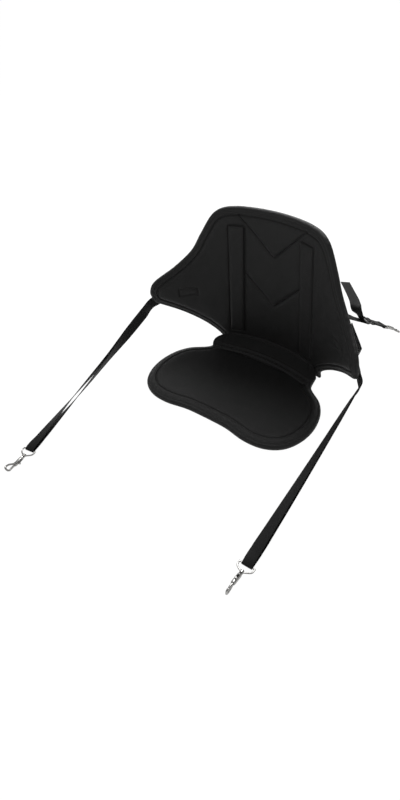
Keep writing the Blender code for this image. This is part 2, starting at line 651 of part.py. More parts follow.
def hook_mesh(finish, scratch):
    """Mesh of the hook: rivet, stem, bored barrel with its slot, and the bow of the hook."""
    head = BOSS_START - SWIVEL_CLEARANCE
    profile = [(head - RIVET_THICKNESS, 0.0), (head - RIVET_THICKNESS, RIVET_RADIUS * 0.7),
               (head - RIVET_THICKNESS * 0.5, RIVET_RADIUS), (head, RIVET_RADIUS), (head, STEM_RADIUS),
               (BARREL_START, STEM_RADIUS), (BARREL_START, BARREL_NECK),
               (BARREL_START + 0.004, BARREL_RADIUS * 0.92), (BARREL_START + 0.006, BARREL_RADIUS),
               (BARREL_END - 0.0008, BARREL_RADIUS), (BARREL_END, BARREL_RADIUS - 0.0008), (BARREL_END, 0.0)]
    body = turned("snap_hook", profile, finish, scratch)
    barrel = add_object("snap_hook", solid_mesh(body), None, scratch)
    far = NOSE + HOOK_NOSE - HOOK_WIRE
    bow = [(BARREL_END - 0.0065, -BARREL_RADIUS * 0.62), (BARREL_END - 0.0015, -BARREL_RADIUS * 1.15),
           (BARREL_END + 0.0030, -HOOK_DEPTH * 0.80), (BARREL_END + 0.0085, -HOOK_DEPTH),
           (NOSE + 0.0020, -HOOK_DEPTH * 0.93), (far - 0.0008, -HOOK_DEPTH * 0.58),
           (far, -HOOK_DEPTH * 0.22), (far - 0.0018, 0.0002), (NOSE + 0.0018, 0.0004), (NOSE, 0.0002)]
    line = [(x, y, 0.0) for x, y in resampled(smooth(bow, 4), 0.0026)]
    arm = tube("hook_bow", line, HOOK_WIRE, None, scratch)
    bore = rod("barrel_bore", BORE_RADIUS, (BORE_START, 0, 0), (BARREL_END + 0.0001, 0, 0), None, scratch)
    mouth = rod("barrel_mouth", BORE_RADIUS, (BARREL_END - 0.004, 0, 0), (NOSE - 0.002, 0, 0), None, scratch)
    wide = KNOB_PIN + GAP
    slot = box("knob_slot", (KNOB_AT - BOLT_TRAVEL - wide, 0.0, -wide), (KNOB_AT + wide, BARREL_RADIUS * 1.5, wide),
               None, scratch)
    boolean(barrel, arm, "UNION")
    for tool in (bore, mouth, slot):
        boolean(barrel, tool)
    mesh = solid_mesh(barrel)
    mesh.materials.clear()
    mesh.materials.append(finish)
    for obj in (body, barrel, arm, bore, mouth, slot):
        bpy.data.objects.remove(obj)
    return mesh


def bolt_mesh(finish, scratch):
    """Mesh of the sliding bolt with its thumb knob."""
    profile = [(BOLT_BACK, 0.0), (BOLT_BACK, BOLT_RADIUS), (BOLT_FRONT - 0.0006, BOLT_RADIUS),
               (BOLT_FRONT, BOLT_RADIUS - 0.0006), (BOLT_FRONT, 0.0)]
    body = turned("snap_bolt", profile, finish, scratch)
    bolt = add_object("snap_bolt", solid_mesh(body), None, scratch)
    pin = rod("knob_pin", KNOB_PIN, (KNOB_AT, 0, 0), (KNOB_AT, KNOB_HEIGHT - KNOB_THICKNESS / 2, 0), None, scratch)
    knob = rod("knob_head", KNOB_RADIUS, (KNOB_AT, KNOB_HEIGHT - KNOB_THICKNESS, 0), (KNOB_AT, KNOB_HEIGHT, 0),
               None, scratch)
    boolean(bolt, pin, "UNION")
    boolean(bolt, knob, "UNION")
    mesh = solid_mesh(bolt)
    mesh.materials.clear()
    mesh.materials.append(finish)
    for obj in (body, bolt, pin, knob):
        bpy.data.objects.remove(obj)
    return mesh


def spring_mesh(finish, scratch):
    """Mesh of the bolt's coil spring."""
    start, end = BORE_START + GAP + SPRING_WIRE, BOLT_BACK - GAP - SPRING_WIRE
    line = []
    for i in range(SPRING_TURNS * 8 + 1):
        share = i / (SPRING_TURNS * 8)
        turn = share * SPRING_TURNS * 2 * math.pi
        line.append((start + (end - start) * share, SPRING_RADIUS * math.cos(turn), SPRING_RADIUS * math.sin(turn)))
    coil = tube("bolt_spring", line, SPRING_WIRE, finish, scratch, resolution=0)
    mesh = coil.data
    bpy.data.objects.remove(coil)
    return mesh


def snap_frame(snap):
    """Placement of a snap's eye: X along the snap, Y along the eye's bar."""
    bar, heading, climb, _ = snap
    along = Vector((math.cos(heading) * math.cos(climb), math.sin(heading) * math.cos(climb), math.sin(climb)))
    across = Vector((-math.sin(heading), math.cos(heading), 0.0))
    turn = Matrix((along, across, along.cross(across))).transposed().to_4x4()
    return Matrix.Translation(bar) @ turn


def mirrored_snap(snap):
    """The same snap on the other side of the seat."""
    (x, y, z), heading, climb, swivel = snap
    return (-x, y, z), math.pi - heading, climb, -swivel


def build_snap(name, snap, meshes, parts):
    """Eye, hook, bolt and spring of one bolt snap, each on its own axis."""
    frame = snap_frame(snap)
    turn = frame @ Matrix.Rotation(snap[3], 4, "X")
    for piece, place in (("swivel_eye", frame), ("snap_hook", turn), ("snap_bolt", turn), ("bolt_spring", turn)):
        obj = bpy.data.objects.new(f"{piece}_{name}", meshes[piece])
        parts.objects.link(obj)
        obj.matrix_world = place


# Straps

def loop_round(centre, out, along, radius, steps=6):
    """Half circle round a bar, from one side of it to the other."""
    turns = [math.pi * i / steps for i in range(steps + 1)]
    return [centre + out * (radius * math.cos(a)) + along * (radius * math.sin(a)) for a in turns]


def in_frame(frame, side_view, across):
    """Stations of a strap given in side view, as (x, z), in a placed frame."""
    return [(frame @ Vector((x, 0.0, z)), across) for x, z in side_view]


def wing_stations(hand, points, out):
    """Stations of a strap on the rear of a wing, from (across, rise) points."""
    return [(back_point(hand * u, v, out), back_rising(hand * u, v)) for u, v in points]


def build_front_strap(name, hand, snap, parts, finishes, lock):
    """Doubled front strap, its ladder lock behind the wing and the lock's sewn anchor."""
    frame = snap_frame(snap)
    bar = frame.translation
    ahead = frame.col[0].to_3d()
    bar_across = frame.col[1].to_3d()
    if bar_across.x < 0:
        bar_across = -bar_across
    thick = WEBBING_THICKNESS
    layer = thick + GAP
    flat = -GAP - WING_EASE - thick / 2
    on_wing = [(SEWN_INNER, SEWN_RISE), (SEWN_OUTER, SEWN_RISE), (WING_EXIT, WING_EXIT_RISE)]
    first = wing_stations(hand, smooth(on_wing, 4), flat)

    slant = (SEWN_RISE - WING_EXIT_RISE) / (WING_EXIT - SEWN_OUTER)
    lock_rise = SEWN_RISE - (LOCK_ON_WING - SEWN_OUTER) * slant
    lift = LOCK_THICKNESS / 2 + GAP + thick + 2 * GAP + thick + layer + 0.0014
    middle = back_point(hand * LOCK_ON_WING, lock_rise, -lift)
    rising = back_rising(hand * LOCK_ON_WING, lock_rise)
    inward = (slant * rising - hand * back_tangent(hand * LOCK_ON_WING, lock_rise)).normalized()
    away = hand * inward.cross(rising).normalized()
    side = away.cross(inward)
    lock_frame = Matrix.Translation(middle) @ Matrix((inward, side, away)).transposed().to_4x4()
    side = side if side.dot(rising) > 0 else -side
    obj = bpy.data.objects.new("front_lock_" + name, lock)
    parts.objects.link(obj)
    obj.matrix_world = lock_frame

    reach = WING_EXIT + 0.016
    start = back_point(hand * reach, SEWN_RISE - (reach - SEWN_OUTER) * slant, flat - LEG_CLOSE)
    near = back_normal(hand * WING_EXIT, WING_EXIT_RISE)
    turns = 12
    leg_near, leg_far = [], []
    for i in range(turns + 1):
        share = i / (turns + 1)
        point = start.lerp(bar, share) - Vector((0, 0, FRONT_SAG * math.sin(math.pi * share)))
        along = (bar - start).normalized()
        twist = math.pi / 2 * (share * share * (3 - 2 * share) * 0.5 + share * 0.5)
        across = rising * math.cos(twist) + bar_across * math.sin(twist)
        out = along.cross(across).normalized()
        if i == 0:
            sign = 1.0 if out.dot(near) > 0 else -1.0
        spread = LEG_CLOSE + (LEG_SPREAD - LEG_CLOSE) * math.sin(math.pi * min(1.0, share * 1.25) / 2)
        leg_near.append((point + out * (sign * spread), across))
        leg_far.append((point - out * (sign * spread), across))
    final_out = (bar - start).cross(bar_across).normalized() * sign
    onward = bar_across.cross(final_out) * (1.0 if ahead.dot(bar_across.cross(final_out)) > 0 else -1.0)
    radius = EYE_WIRE + GAP + thick / 2
    fold = [(p, bar_across) for p in loop_round(bar, final_out, onward, radius)]

    run_in = wing_stations(hand, [(WING_EXIT, WING_EXIT_RISE)], flat - 2 * LEG_CLOSE - GAP)
    run_in += in_frame(lock_frame, [(-LOCK_LENGTH * 0.78, lock_weave()[1][1] - 0.0004)], side)
    weave = in_frame(lock_frame, lock_weave()[1:], side)
    tail_start = lock_weave()[-1]
    drop = tail_start[1]
    tail = [(tail_start[0] - 0.004, drop + 0.0001), (tail_start[0] - 0.009, drop + 0.0016),
            (tail_start[0] - 0.0125, drop + 0.0060), (tail_start[0] - 0.0110, drop + 0.0115),
            (tail_start[0] - 0.004, drop + 0.0150), (tail_start[0] - 0.004 + FRONT_TAIL, drop + 0.0185)]
    tail = in_frame(lock_frame, smooth(tail, 3), side)
    stations = first + leg_near + fold + leg_far[::-1] + run_in + weave + tail
    strip("front_strap_" + name, stations, finishes["webbing"], parts)

    held = [(u, SEWN_RISE - (u - SEWN_OUTER) * slant) for u in (SEWN_INNER - ANCHOR_INNER, SEWN_INNER - ANCHOR_OUTER)]
    lower = wing_stations(hand, held, flat)
    upper = wing_stations(hand, held[::-1], flat - layer - GAP)
    turn = loop_round(Vector((LOCK_FIXED_BAR, 0, 0)), Vector((0, 0, -1)), Vector((-1, 0, 0)), LOOP_RADIUS + GAP)
    bend = [(lock_frame @ p, side) for p in turn]
    strip("front_anchor_" + name, lower + bend + upper, finishes["webbing"], parts)


def build_rear_strap(name, hand, snap, parts, finishes, lock):
    """Rear strap with its tail, the ladder lock and the short strap that carries the snap."""
    frame = snap_frame(snap)
    bar = frame.translation
    ahead = frame.col[0].to_3d()
    across = frame.col[1].to_3d()
    up = frame.col[2].to_3d()
    middle = bar - ahead * (LINK_LENGTH + LOCK_FIXED_BAR)
    lock_frame = Matrix.Translation(middle) @ frame.to_3x3().to_4x4()
    obj = bpy.data.objects.new("rear_lock_" + name, lock)
    parts.objects.link(obj)
    obj.matrix_world = lock_frame

    wire = EYE_WIRE + GAP + WEBBING_THICKNESS / 2
    near = LOCK_FIXED_BAR * ahead + middle
    link = loop_round(bar, up, ahead, wire) + loop_round(near, -up, -ahead, LOOP_RADIUS)
    pinch = WEBBING_THICKNESS / 2 + GAP
    pinched = []
    for sign in (-1, 1):
        pinched.append([near.lerp(bar, share) + up * (sign * pinch) for share in (0.74, 0.5, 0.28)])
    ring = link[:7] + pinched[0] + link[7:] + pinched[1][::-1]
    strip("rear_link_" + name, [(p, across) for p in ring], finishes["webbing"], parts, closed=True)

    flat = -2 * GAP - SLEEVE_THICKNESS - WEBBING_THICKNESS / 2
    out_u = rib_centre((REAR_SEWN_TOP + REAR_SEWN_FOOT) / 2)
    wide = back_tangent(hand * out_u, REAR_SEWN_FOOT)
    wide = wide if across.dot(wide) > 0 else -wide
    sewn = [(back_point(hand * out_u, v, flat), wide)
            for v in np.linspace(REAR_SEWN_TOP, REAR_SEWN_FOOT, 3)]
    weave = lock_weave()
    entry = lock_frame @ Vector((weave[0][0], 0.0, weave[0][1]))
    leave = back_point(hand * out_u, REAR_SEWN_FOOT - REAR_BEND * 0.55, flat - REAR_BEND * 0.22)
    leave_2 = back_point(hand * out_u, REAR_SEWN_FOOT - REAR_BEND * 1.05, flat - REAR_BEND * 0.75)
    run = [sewn[-1][0], leave, leave_2]
    run += [leave_2.lerp(entry, share) for share in (0.25, 0.5, 0.75)] + [entry]
    line = smooth(run, 2)[1:-1]
    free = [(Vector(p), wide.lerp(across, (i + 1) / (len(line) + 1))) for i, p in enumerate(line)]
    woven = in_frame(lock_frame, weave, across)
    tail_line = [woven[-1][0]] + [Vector((hand * x, y, z)) for x, y, z in REAR_TAIL]
    tail_across = Vector((hand * REAR_TAIL_ACROSS[0], *REAR_TAIL_ACROSS[1:])).normalized()
    if tail_across.dot(across) < 0:
        tail_across = -tail_across
    points = smooth(tail_line, 3)[1:]
    tail = [(Vector(p), across.lerp(tail_across, (i + 1) / len(points))) for i, p in enumerate(points)]
    strip("rear_strap_" + name, sewn + free + woven + tail, finishes["webbing"], parts)


def main():
    """Builds the seat."""
    for obj in list(bpy.data.objects):
        bpy.data.objects.remove(obj)
    parts = collection("kayak_seat")
    cutters = collection("cutters")
    finishes = {
        "fabric": material("black_polyester", (0.012, 0.012, 0.012), 0.75),
        "web": material("black_hinge_fabric", (0.018, 0.018, 0.018), 0.65),
        "webbing": material("black_webbing", (0.015, 0.015, 0.015), 0.7),
        "stay": material("glass_fibre", (0.55, 0.52, 0.42), 0.5),
        "lock": material("black_acetal", (0.01, 0.01, 0.01), 0.4),
        "nickel": material("nickel_plate", (0.75, 0.73, 0.70), 0.25, 1.0),
        "spring": material("spring_steel", (0.6, 0.6, 0.62), 0.35, 1.0),
    }
    build_pads(parts, cutters, finishes)
    snap_meshes = {
        "swivel_eye": eye_mesh(finishes["nickel"], cutters),
        "snap_hook": hook_mesh(finishes["nickel"], cutters),
        "snap_bolt": bolt_mesh(finishes["nickel"], cutters),
        "bolt_spring": spring_mesh(finishes["spring"], cutters),
    }
    lock = lock_mesh(finishes["lock"], cutters)
    for name, hand, front, rear in (("left", -1, FRONT_LEFT_SNAP, mirrored_snap(REAR_SNAP)),
                                    ("right", 1, FRONT_RIGHT_SNAP, REAR_SNAP)):
        build_snap("front_" + name, front, snap_meshes, parts)
        build_snap("rear_" + name, rear, snap_meshes, parts)
        build_front_strap(name, hand, front, parts, finishes, lock)
        build_rear_strap(name, hand, rear, parts, finishes, lock)
    bpy.context.view_layer.update()


main()
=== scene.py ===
"""Dresses the kayak seat: moulded pads, hinge web, webbing, buckles, bolt snaps and a studio stage."""

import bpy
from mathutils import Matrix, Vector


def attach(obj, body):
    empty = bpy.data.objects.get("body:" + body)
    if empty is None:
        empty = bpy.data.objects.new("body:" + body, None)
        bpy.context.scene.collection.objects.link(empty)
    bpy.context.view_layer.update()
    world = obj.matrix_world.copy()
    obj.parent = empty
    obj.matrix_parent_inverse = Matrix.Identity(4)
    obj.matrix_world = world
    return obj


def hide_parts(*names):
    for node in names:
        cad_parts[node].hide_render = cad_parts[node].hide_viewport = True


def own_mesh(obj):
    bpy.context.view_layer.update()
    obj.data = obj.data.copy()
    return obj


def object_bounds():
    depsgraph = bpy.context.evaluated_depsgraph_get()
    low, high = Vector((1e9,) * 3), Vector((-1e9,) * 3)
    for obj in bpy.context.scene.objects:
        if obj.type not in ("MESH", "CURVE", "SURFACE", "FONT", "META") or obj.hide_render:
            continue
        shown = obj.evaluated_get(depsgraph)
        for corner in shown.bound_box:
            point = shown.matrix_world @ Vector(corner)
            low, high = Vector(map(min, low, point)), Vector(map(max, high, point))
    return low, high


bl_info = {
    "name": "Kayak Seat",
    "version": (1, 0, 0),
    "blender": (4, 5, 0),
    "location": "3D View > Sidebar > Kayak Seat",
    "description": "Builds the padded panels, webbing and bolt snaps of a kayak seat on its solids",
    "category": "Object",
}

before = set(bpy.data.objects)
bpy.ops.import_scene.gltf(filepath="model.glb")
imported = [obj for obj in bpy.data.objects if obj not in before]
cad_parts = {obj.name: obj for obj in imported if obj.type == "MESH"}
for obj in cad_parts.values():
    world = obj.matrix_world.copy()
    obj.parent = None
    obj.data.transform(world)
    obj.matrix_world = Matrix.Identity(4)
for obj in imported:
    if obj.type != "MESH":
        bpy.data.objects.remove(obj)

import math

import bmesh
import bpy
import numpy as np
from mathutils import Matrix, Vector
from mathutils.geometry import delaunay_2d_cdt

CAD_BOX = [[float(x) for x in corner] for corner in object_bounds()]
SEAT = "seat"
SNAPS = ("front_left", "front_right", "rear_left", "rear_right")
SIDES = (("left", -1), ("right", 1))
GAP = 0.0003

# Seat pad
SEAT_HALF_WIDTH = 0.208
SEAT_DEPTH = 0.272
HINGE_Y = 0.1375
SEAT_WIDEST_Y = -0.0305
SEAT_LOBE_X = 0.103
SEAT_NOTCH = 0.0105
SEAT_EDGE = 0.0115
SEAT_CROWN = 0.0185
SEAT_GROOVE_REAR = 0.112     # the groove's outline ends here, in front of the hinge web

# Back rest
WAIST = 0.1445
WAIST_RISE = 0.020
WING = 0.3075
WING_RISE = 0.165
WING_ROUND = 0.030
SHOULDER = 0.198
SHOULDER_DROP = 0.1035
TOP = 0.148
TOP_CORNER = 0.026
BACK_HEIGHT = 0.3632
BACK_RADIUS_LOW = 0.354
BACK_RADIUS_HIGH = 0.287
BACK_LEAN = math.radians(-5.7)
BACK_SETBACK = 0.031
BACK_FOOT = 0.006
BACK_EDGE = 0.010
BACK_CROWN = 0.0145
CROWN_REACH = 0.020

# Stay ribs and sleeves
RIB_FOOT, RIB_FOOT_RISE = 0.0985, 0.046
RIB_HEAD, RIB_HEAD_RISE = 0.088, BACK_HEIGHT - 0.0385
RIB_WIDTH = 0.036
SLEEVE_WIDTH = 0.038
SLEEVE_THICKNESS = 0.0012
CHEVRONS = ((BACK_HEIGHT - 0.101, 0.0815, BACK_HEIGHT - 0.016), (0.137, 0.070, 0.211))

# Hinge web
WEB_HALF_LOW = 0.124
WEB_HALF_HIGH = 0.125
WEB_THICKNESS = 0.003
WEB_EAR = 0.019              # how far its ends bulge out over the fold
WEB_ON_SEAT = 0.056
WEB_ON_BACK = 0.034
WEB_SEAM = 0.008
HINGE_GAP = 0.0015
WEB_COLUMNS, WEB_ROWS = 96, 44
WEB_SEWN_AT = (-0.62, 0.86)  # its sewn rows, from -1 at the seat pad to 1 at the back rest
WEB_SEWN_REACH, WEB_SEWN_POINTS = 0.93, 90
WEB_UV_HEIGHT = 0.035

# Webbing
WEBBING = 0.025
WEBBING_THICKNESS = 0.0014
SEWN_INNER, SEWN_OUTER = 0.192, 0.238
SEWN_RISE = 0.157
SEWN_HEIGHT = 0.019
WING_EXIT = 0.292
WING_EXIT_RISE = 0.137
LOCK_ON_WING = 0.222
ANCHOR_SEWN = (SEWN_INNER - 0.042, SEWN_INNER - 0.016)
ANCHOR_RISE = 0.1848         # middle of the anchor's sewn part
WING_EASE = 0.0005
FRONT_TAIL = 0.055
FRONT_SAG = 0.004
LEG_CLOSE = 0.0018
LEG_STEPS = 13
LEGS_START = 0.016           # past the wing's exit
LOCK_STANDOFF = 0.0014       # air between the front lock and the layers under it
# Along each front strap, from the wing to its snap: turn of the webbing in degrees, and half the
# distance between its legs
STRAP_TWIST = {-1: ((0.0, 0.0), (0.05, -13.0), (0.20, -11.0), (0.42, 22.0), (0.58, 32.0), (0.68, 40.0),
                    (0.80, 55.0), (1.0, 80.0)),
               1: ((0.0, 10.0), (0.04, 17.0), (0.20, 29.0), (0.46, 41.0), (0.73, 54.0), (0.90, 62.0),
                   (1.0, 80.0))}
LEG_SPREAD = {-1: ((0.0, 0.0018), (0.35, 0.0016), (0.50, 0.0030), (0.70, 0.0036), (1.0, 0.0026)),
              1: ((0.0, 0.0010), (0.3, 0.0010), (1.0, 0.0026))}
EYE_PINCH = 0.80             # share of its width that the webbing keeps where it bunches up in a front eye
EYE_PINCH_REACH = 0.026
REAR_SEWN_TOP, REAR_SEWN_FOOT = 0.236, 0.190
REAR_BEND = 0.022
REAR_ROLL = 22.0             # turn of the rear webbing about its own line in mid run, in degrees
LINK_LENGTH = 0.050

# Ladder lock
LOCK_LENGTH = 0.029
LOCK_THICKNESS = 0.004
LOCK_BAR = 0.0032
LOCK_SLOT = 0.0040

# Bolt snap, along its own axis from the eye's bar
EYE_WIRE = 0.0015
EYE_WIDTH = 0.0265
EYE_STRAIGHT = 0.008
EYE_LENGTH = 0.017
BOSS_RADIUS = 0.0036
BOSS_LENGTH = 0.0052
STEM_RADIUS = 0.0019
RIVET_RADIUS = 0.0027
RIVET_THICKNESS = 0.0016
SWIVEL_CLEARANCE = 0.0003
BARREL_RADIUS = 0.0042
BARREL_LENGTH = 0.0255
BARREL_NECK = 0.0028
BORE_RADIUS = 0.00255
BORE_FLOOR = 0.0018
BOLT_RADIUS = 0.0022
BOLT_TRAVEL = 0.009
GATE = 0.011
HOOK_WIRE = 0.0020
HOOK_DEPTH = 0.0133
HOOK_NOSE = 0.0072
KNOB_PIN = 0.0011
KNOB_RADIUS = 0.0023
KNOB_HEIGHT = 0.0082
KNOB_THICKNESS = 0.0022
KNOB_FROM_MOUTH = 0.0085
SPRING_WIRE = 0.0003
SPRING_RADIUS = 0.0018
SPRING_TURNS = 4

FRONT_LEFT_SNAP = ((-0.2405, -0.4080, BARREL_RADIUS), math.radians(-80.0), 0.0, 0.0)
FRONT_RIGHT_SNAP = ((0.2655, -0.3640, 0.0043), math.radians(-88.0), math.radians(11.4), math.radians(84.0))
REAR_SNAP = ((0.1830, 0.3712, 0.0336), math.radians(61.0), math.radians(-30.0), 0.0)
REAR_TAIL = ((0.1430, 0.3060, 0.0870), (0.1310, 0.3090, 0.1000), (0.1180, 0.3240, 0.1070),
             (0.0950, 0.3470, 0.1130), (0.0690, 0.3730, 0.1180))
REAR_TAIL_ACROSS = (0.77, 0.60, -0.20)

# Mesh and seams of the padded panels
AT_ONCE = 2000               # points whose distances are worked out in one step
LINE_SPACING = 0.0022        # points along the rim and the seams
RIM_ROWS = (0.0003, 0.0009, 0.0018, 0.003, 0.0046, 0.0066)
RIM_ROW_SPACING = 0.0026
GRID_FROM_RIM = 0.0095
SEAM_ROWS = (0.0, 0.0006, -0.0006, 0.0014, -0.0014, 0.003, -0.003)
SEAM_SHARP, SEAM_SOFT = 0.0013, 0.0040
BACK_SEAM_SOFT = 0.0044
SEAT_LINE_SHARE = 0.8        # the seat pad's rim line lies this much of the setting from its rim
SEAT_ROUND, BACK_ROUND, REAR_ROUND = 0.0042, 0.0040, 0.0035
# Heights at the rim of a pad's top and of its underside, as shares of its edge's thickness
SEAT_RIM_TOP, SEAT_RIM_FOOT = 0.55, 0.42
BACK_RIM_TOP, BACK_RIM_FOOT = 0.5, 0.45
RIPPLE_FROM, RIPPLE_FULL = 0.006, 0.03
SEAT_WAVES, BACK_WAVES = (0.045, 3), (0.05, 8)              # size and seed
SEAT_LINE_DENT, BACK_LINE_DENT = (0.0005, 0.0011), (0.0010, 0.0014)     # depth and width
RIB_DENT, SEWN_DENT = (0.0016, 0.0012), (0.0014, 0.0012)

# Section of the webbing, across it and up from its middle, both as shares
TAPE_ACROSS = (-1.0, -0.94, -0.86, -0.6, -0.3, 0.0, 0.3, 0.6, 0.86, 0.94, 1.0)
TAPE_UP = (0.30, 0.92, 1.0, 0.93, 0.97, 1.0, 0.97, 0.93, 1.0, 0.92, 0.30)
THREAD_SIDES = 5

# Viewpoint of the photograph
CAMERA_AT = (0.4967, -0.7442, 0.7758)
CAMERA_LOOKS_AT = (0.0371, -0.1851, 0.12)
CAMERA_ROLL = math.radians(-3.166)
CAMERA_LENS = 23.06
LAMPS = (("key", 1.6, (-0.9, -0.9, 1.7)), ("fill", 1.4, (1.5, -0.5, 1.2)), ("rear", 1.5, (-0.50, 1.05, 1.60)))
LAMPS_LOOK_AT = (0.0, 0.0, 0.12)
FLOOR_DROP = 0.0004          # floor below the lowest solid

FORWARD = np.array((0.0, -math.cos(BACK_LEAN), math.sin(BACK_LEAN)))
UPWARD = np.array((0.0, math.sin(BACK_LEAN), math.cos(BACK_LEAN)))


# Settings

def length(label, text, default, **limits):
    """A setting in metres."""
    return bpy.props.FloatProperty(name=label, description=text, default=default, unit="LENGTH", **limits)


def power(label, text, default):
    """A setting in watts."""
    return bpy.props.FloatProperty(name=label, description=text, default=default, unit="POWER")


def hex_colour(label, text, default):
    """A setting that holds an sRGB hex value."""
    return bpy.props.StringProperty(name=label, description=text, default=default)


class KayakSeatPads(bpy.types.PropertyGroup):
    """Sizes of the padded panels."""

    facet: length("Facet", "Spacing of the panel's points away from its seams", 0.0055, min=0.002)
    seat_groove_inset: length("Seat groove inset", "Distance of the seat pad's seam from its rim", 0.021)
    back_groove_inset: length("Back groove inset", "Distance of the back rest's seam from its rim", 0.016)
    rim_line_inset: length("Rim line inset", "Distance of the faint line along the rim from the rim", 0.0075)
    groove_depth: length("Groove depth", "Depth of the pressed seams", 0.0034)
    rib_raise: length("Rib height", "How far the stay ribs stand out", 0.0026)
    ripple: length("Ripple", "Height of the slight waves in the fabric", 0.00022)


class KayakSeatStraps(bpy.types.PropertyGroup):
    """Make of the webbing and its stitches."""

    rib_pitch: length("Webbing pitch", "Distance between the webbing's woven ribs", 0.0018)
    stitch_pitch: length("Stitch pitch", "Distance from one stitch to the next", 0.0042)
    thread: length("Thread radius", "Radius of the sewing thread", 0.00035)


class KayakSeatFinish(bpy.types.PropertyGroup):
    """Colours of the finishes, as sRGB hex values."""

    fabric: hex_colour("Pad fabric", "Colour of the polyester over the foam", "#0B0B0B")
    webbing: hex_colour("Webbing", "Colour of the polypropylene webbing", "#111111")
    buckle: hex_colour("Buckle", "Colour of the moulded acetal", "#141414")
    thread: hex_colour("Thread", "Colour of the bonded nylon thread", "#1A1A1A")
    nickel: hex_colour("Nickel", "Colour of the plated snaps", "#A9A8A6")
    steel: hex_colour("Spring steel", "Colour of the bolt springs", "#B4B3B0")
    stay: hex_colour("Stay", "Colour of the glass-fibre stays", "#C8C3AC")
    backdrop: hex_colour("Backdrop", "Colour of the floor", "#FFFFFF")


class KayakSeatStage(bpy.types.PropertyGroup):
    """Light on the stage."""

    key: power("Key light", "Power of the large lamp over the seat's front", 5.0)
    fill: power("Fill light", "Power of the lamp at the seat's side", 3.0)
    rear: power("Rear light", "Power of the lamp behind the seat, which gives the pads their sheen", 44.0)
    sky: bpy.props.FloatProperty(
        name="Sky", description="Strength of the even light from all round", default=0.30)


# Lines and outlines

def lerp(a, b, share):
    """A point between two."""
    return tuple(p + (q - p) * share for p, q in zip(a, b))


def unit_rows(rows):
    """The same vectors at length 1."""
    return rows / np.linalg.norm(rows, axis=1)[:, None]


def run_along(line):
    """Distance along a line from its start to each of its points."""
    return np.concatenate([[0.0], np.cumsum(np.linalg.norm(np.diff(line, axis=0), axis=1))])


def direction(line, closed):
    """Unit vectors along a line at each of its points."""
    if closed:
        return unit_rows(np.roll(line, -1, axis=0) - np.roll(line, 1, axis=0))
    return unit_rows(np.gradient(line, axis=0))


def sideways(line, closed):
    """Unit vectors to the left of a flat line."""
    along = direction(line, closed)
    return np.stack([-along[:, 1], along[:, 0]], axis=1)


def smooth(points, per_span=4):
    """Points along a Catmull-Rom curve through the given ones."""
    given = np.array([tuple(p) for p in points], float)
    padded = np.vstack([2 * given[0] - given[1], given, 2 * given[-1] - given[-2]])
    step = np.linspace(0.0, 1.0, per_span, endpoint=False)[:, None]
    runs = []
    for a, b, c, d in zip(padded, padded[1:], padded[2:], padded[3:]):
        runs.append(0.5 * (2 * b + (c - a) * step + (2 * a - 5 * b + 4 * c - d) * step ** 2
                           + (3 * b - a - 3 * c + d) * step ** 3))
    return np.vstack([*runs, given[-1][None]])


def resampled(line, spacing, closed=False):
    """The same line with evenly spaced points."""
    line = np.array([tuple(p) for p in line], float)
    if closed:
        line = np.vstack([line, line[:1]])
    run = run_along(line)
    count = max(2, int(math.ceil(run[-1] / spacing)) + 1)
    at = np.linspace(0.0, run[-1], count)
    even = np.stack([np.interp(at, run, line[:, i]) for i in range(line.shape[1])], axis=1)
    return even[:-1] if closed else even


def mirrored_loop(half):
    """A closed outline from its right half."""
    left = half[::-1].copy()
    left[:, 0] *= -1
    loop = np.vstack([half, left])
    return loop[np.linalg.norm(loop - np.roll(loop, 1, axis=0), axis=1) > 1e-6]


def distance(points, line, closed):
    """Shortest distance from each point to a line."""
    start = np.asarray(line, float)
    end = np.roll(start, -1, axis=0)
    if not closed:
        start, end = start[:-1], end[:-1]
    span = end - start
    squared = np.maximum((span ** 2).sum(axis=1), 1e-18)
    found = np.empty(len(points))
    for first in range(0, len(points), AT_ONCE):
        apart = points[first:first + AT_ONCE, None, :] - start[None]
        share = np.clip((apart * span[None]).sum(axis=2) / squared[None], 0.0, 1.0)
        squares = ((apart - share[..., None] * span[None]) ** 2).sum(axis=2)
        found[first:first + AT_ONCE] = np.sqrt(squares.min(axis=1))
    return found


def inset(loop, by, spacing):
    """A counter-clockwise closed outline moved inwards."""
    ring = resampled(loop, 0.0015, closed=True)
    moved = ring + by * sideways(ring, True)
    moved = moved[distance(moved, ring, True) > 0.985 * by]  # without the loops that form at tight corners
    return resampled(moved, spacing, closed=True)


def step_up(value, low, high):
    """Smooth step from 0 to 1."""
    share = np.clip((value - low) / (high - low), 0.0, 1.0)
    return share * share * (3 - 2 * share)


def waves(points, size, seed):
    """Slight seeded waves, from about -1 to 1."""
    random = np.random.default_rng(seed)
    total = np.zeros(len(points))
    for _ in range(9):
        turn = random.uniform(0, math.pi)
        pitch = size * random.uniform(0.6, 1.8)
        phase = random.uniform(0, 6.28)
        run = points[:, 0] * math.cos(turn) + points[:, 1] * math.sin(turn)
        total += np.sin(run * 2 * math.pi / pitch + phase)
    return total / 4.5


# The back rest's face

def wrap(rise):
    """Curvature of the back rest in plan at a height on it."""
    low, high = 1 / BACK_RADIUS_LOW, 1 / BACK_RADIUS_HIGH
    return low + (high - low) * rise / BACK_HEIGHT


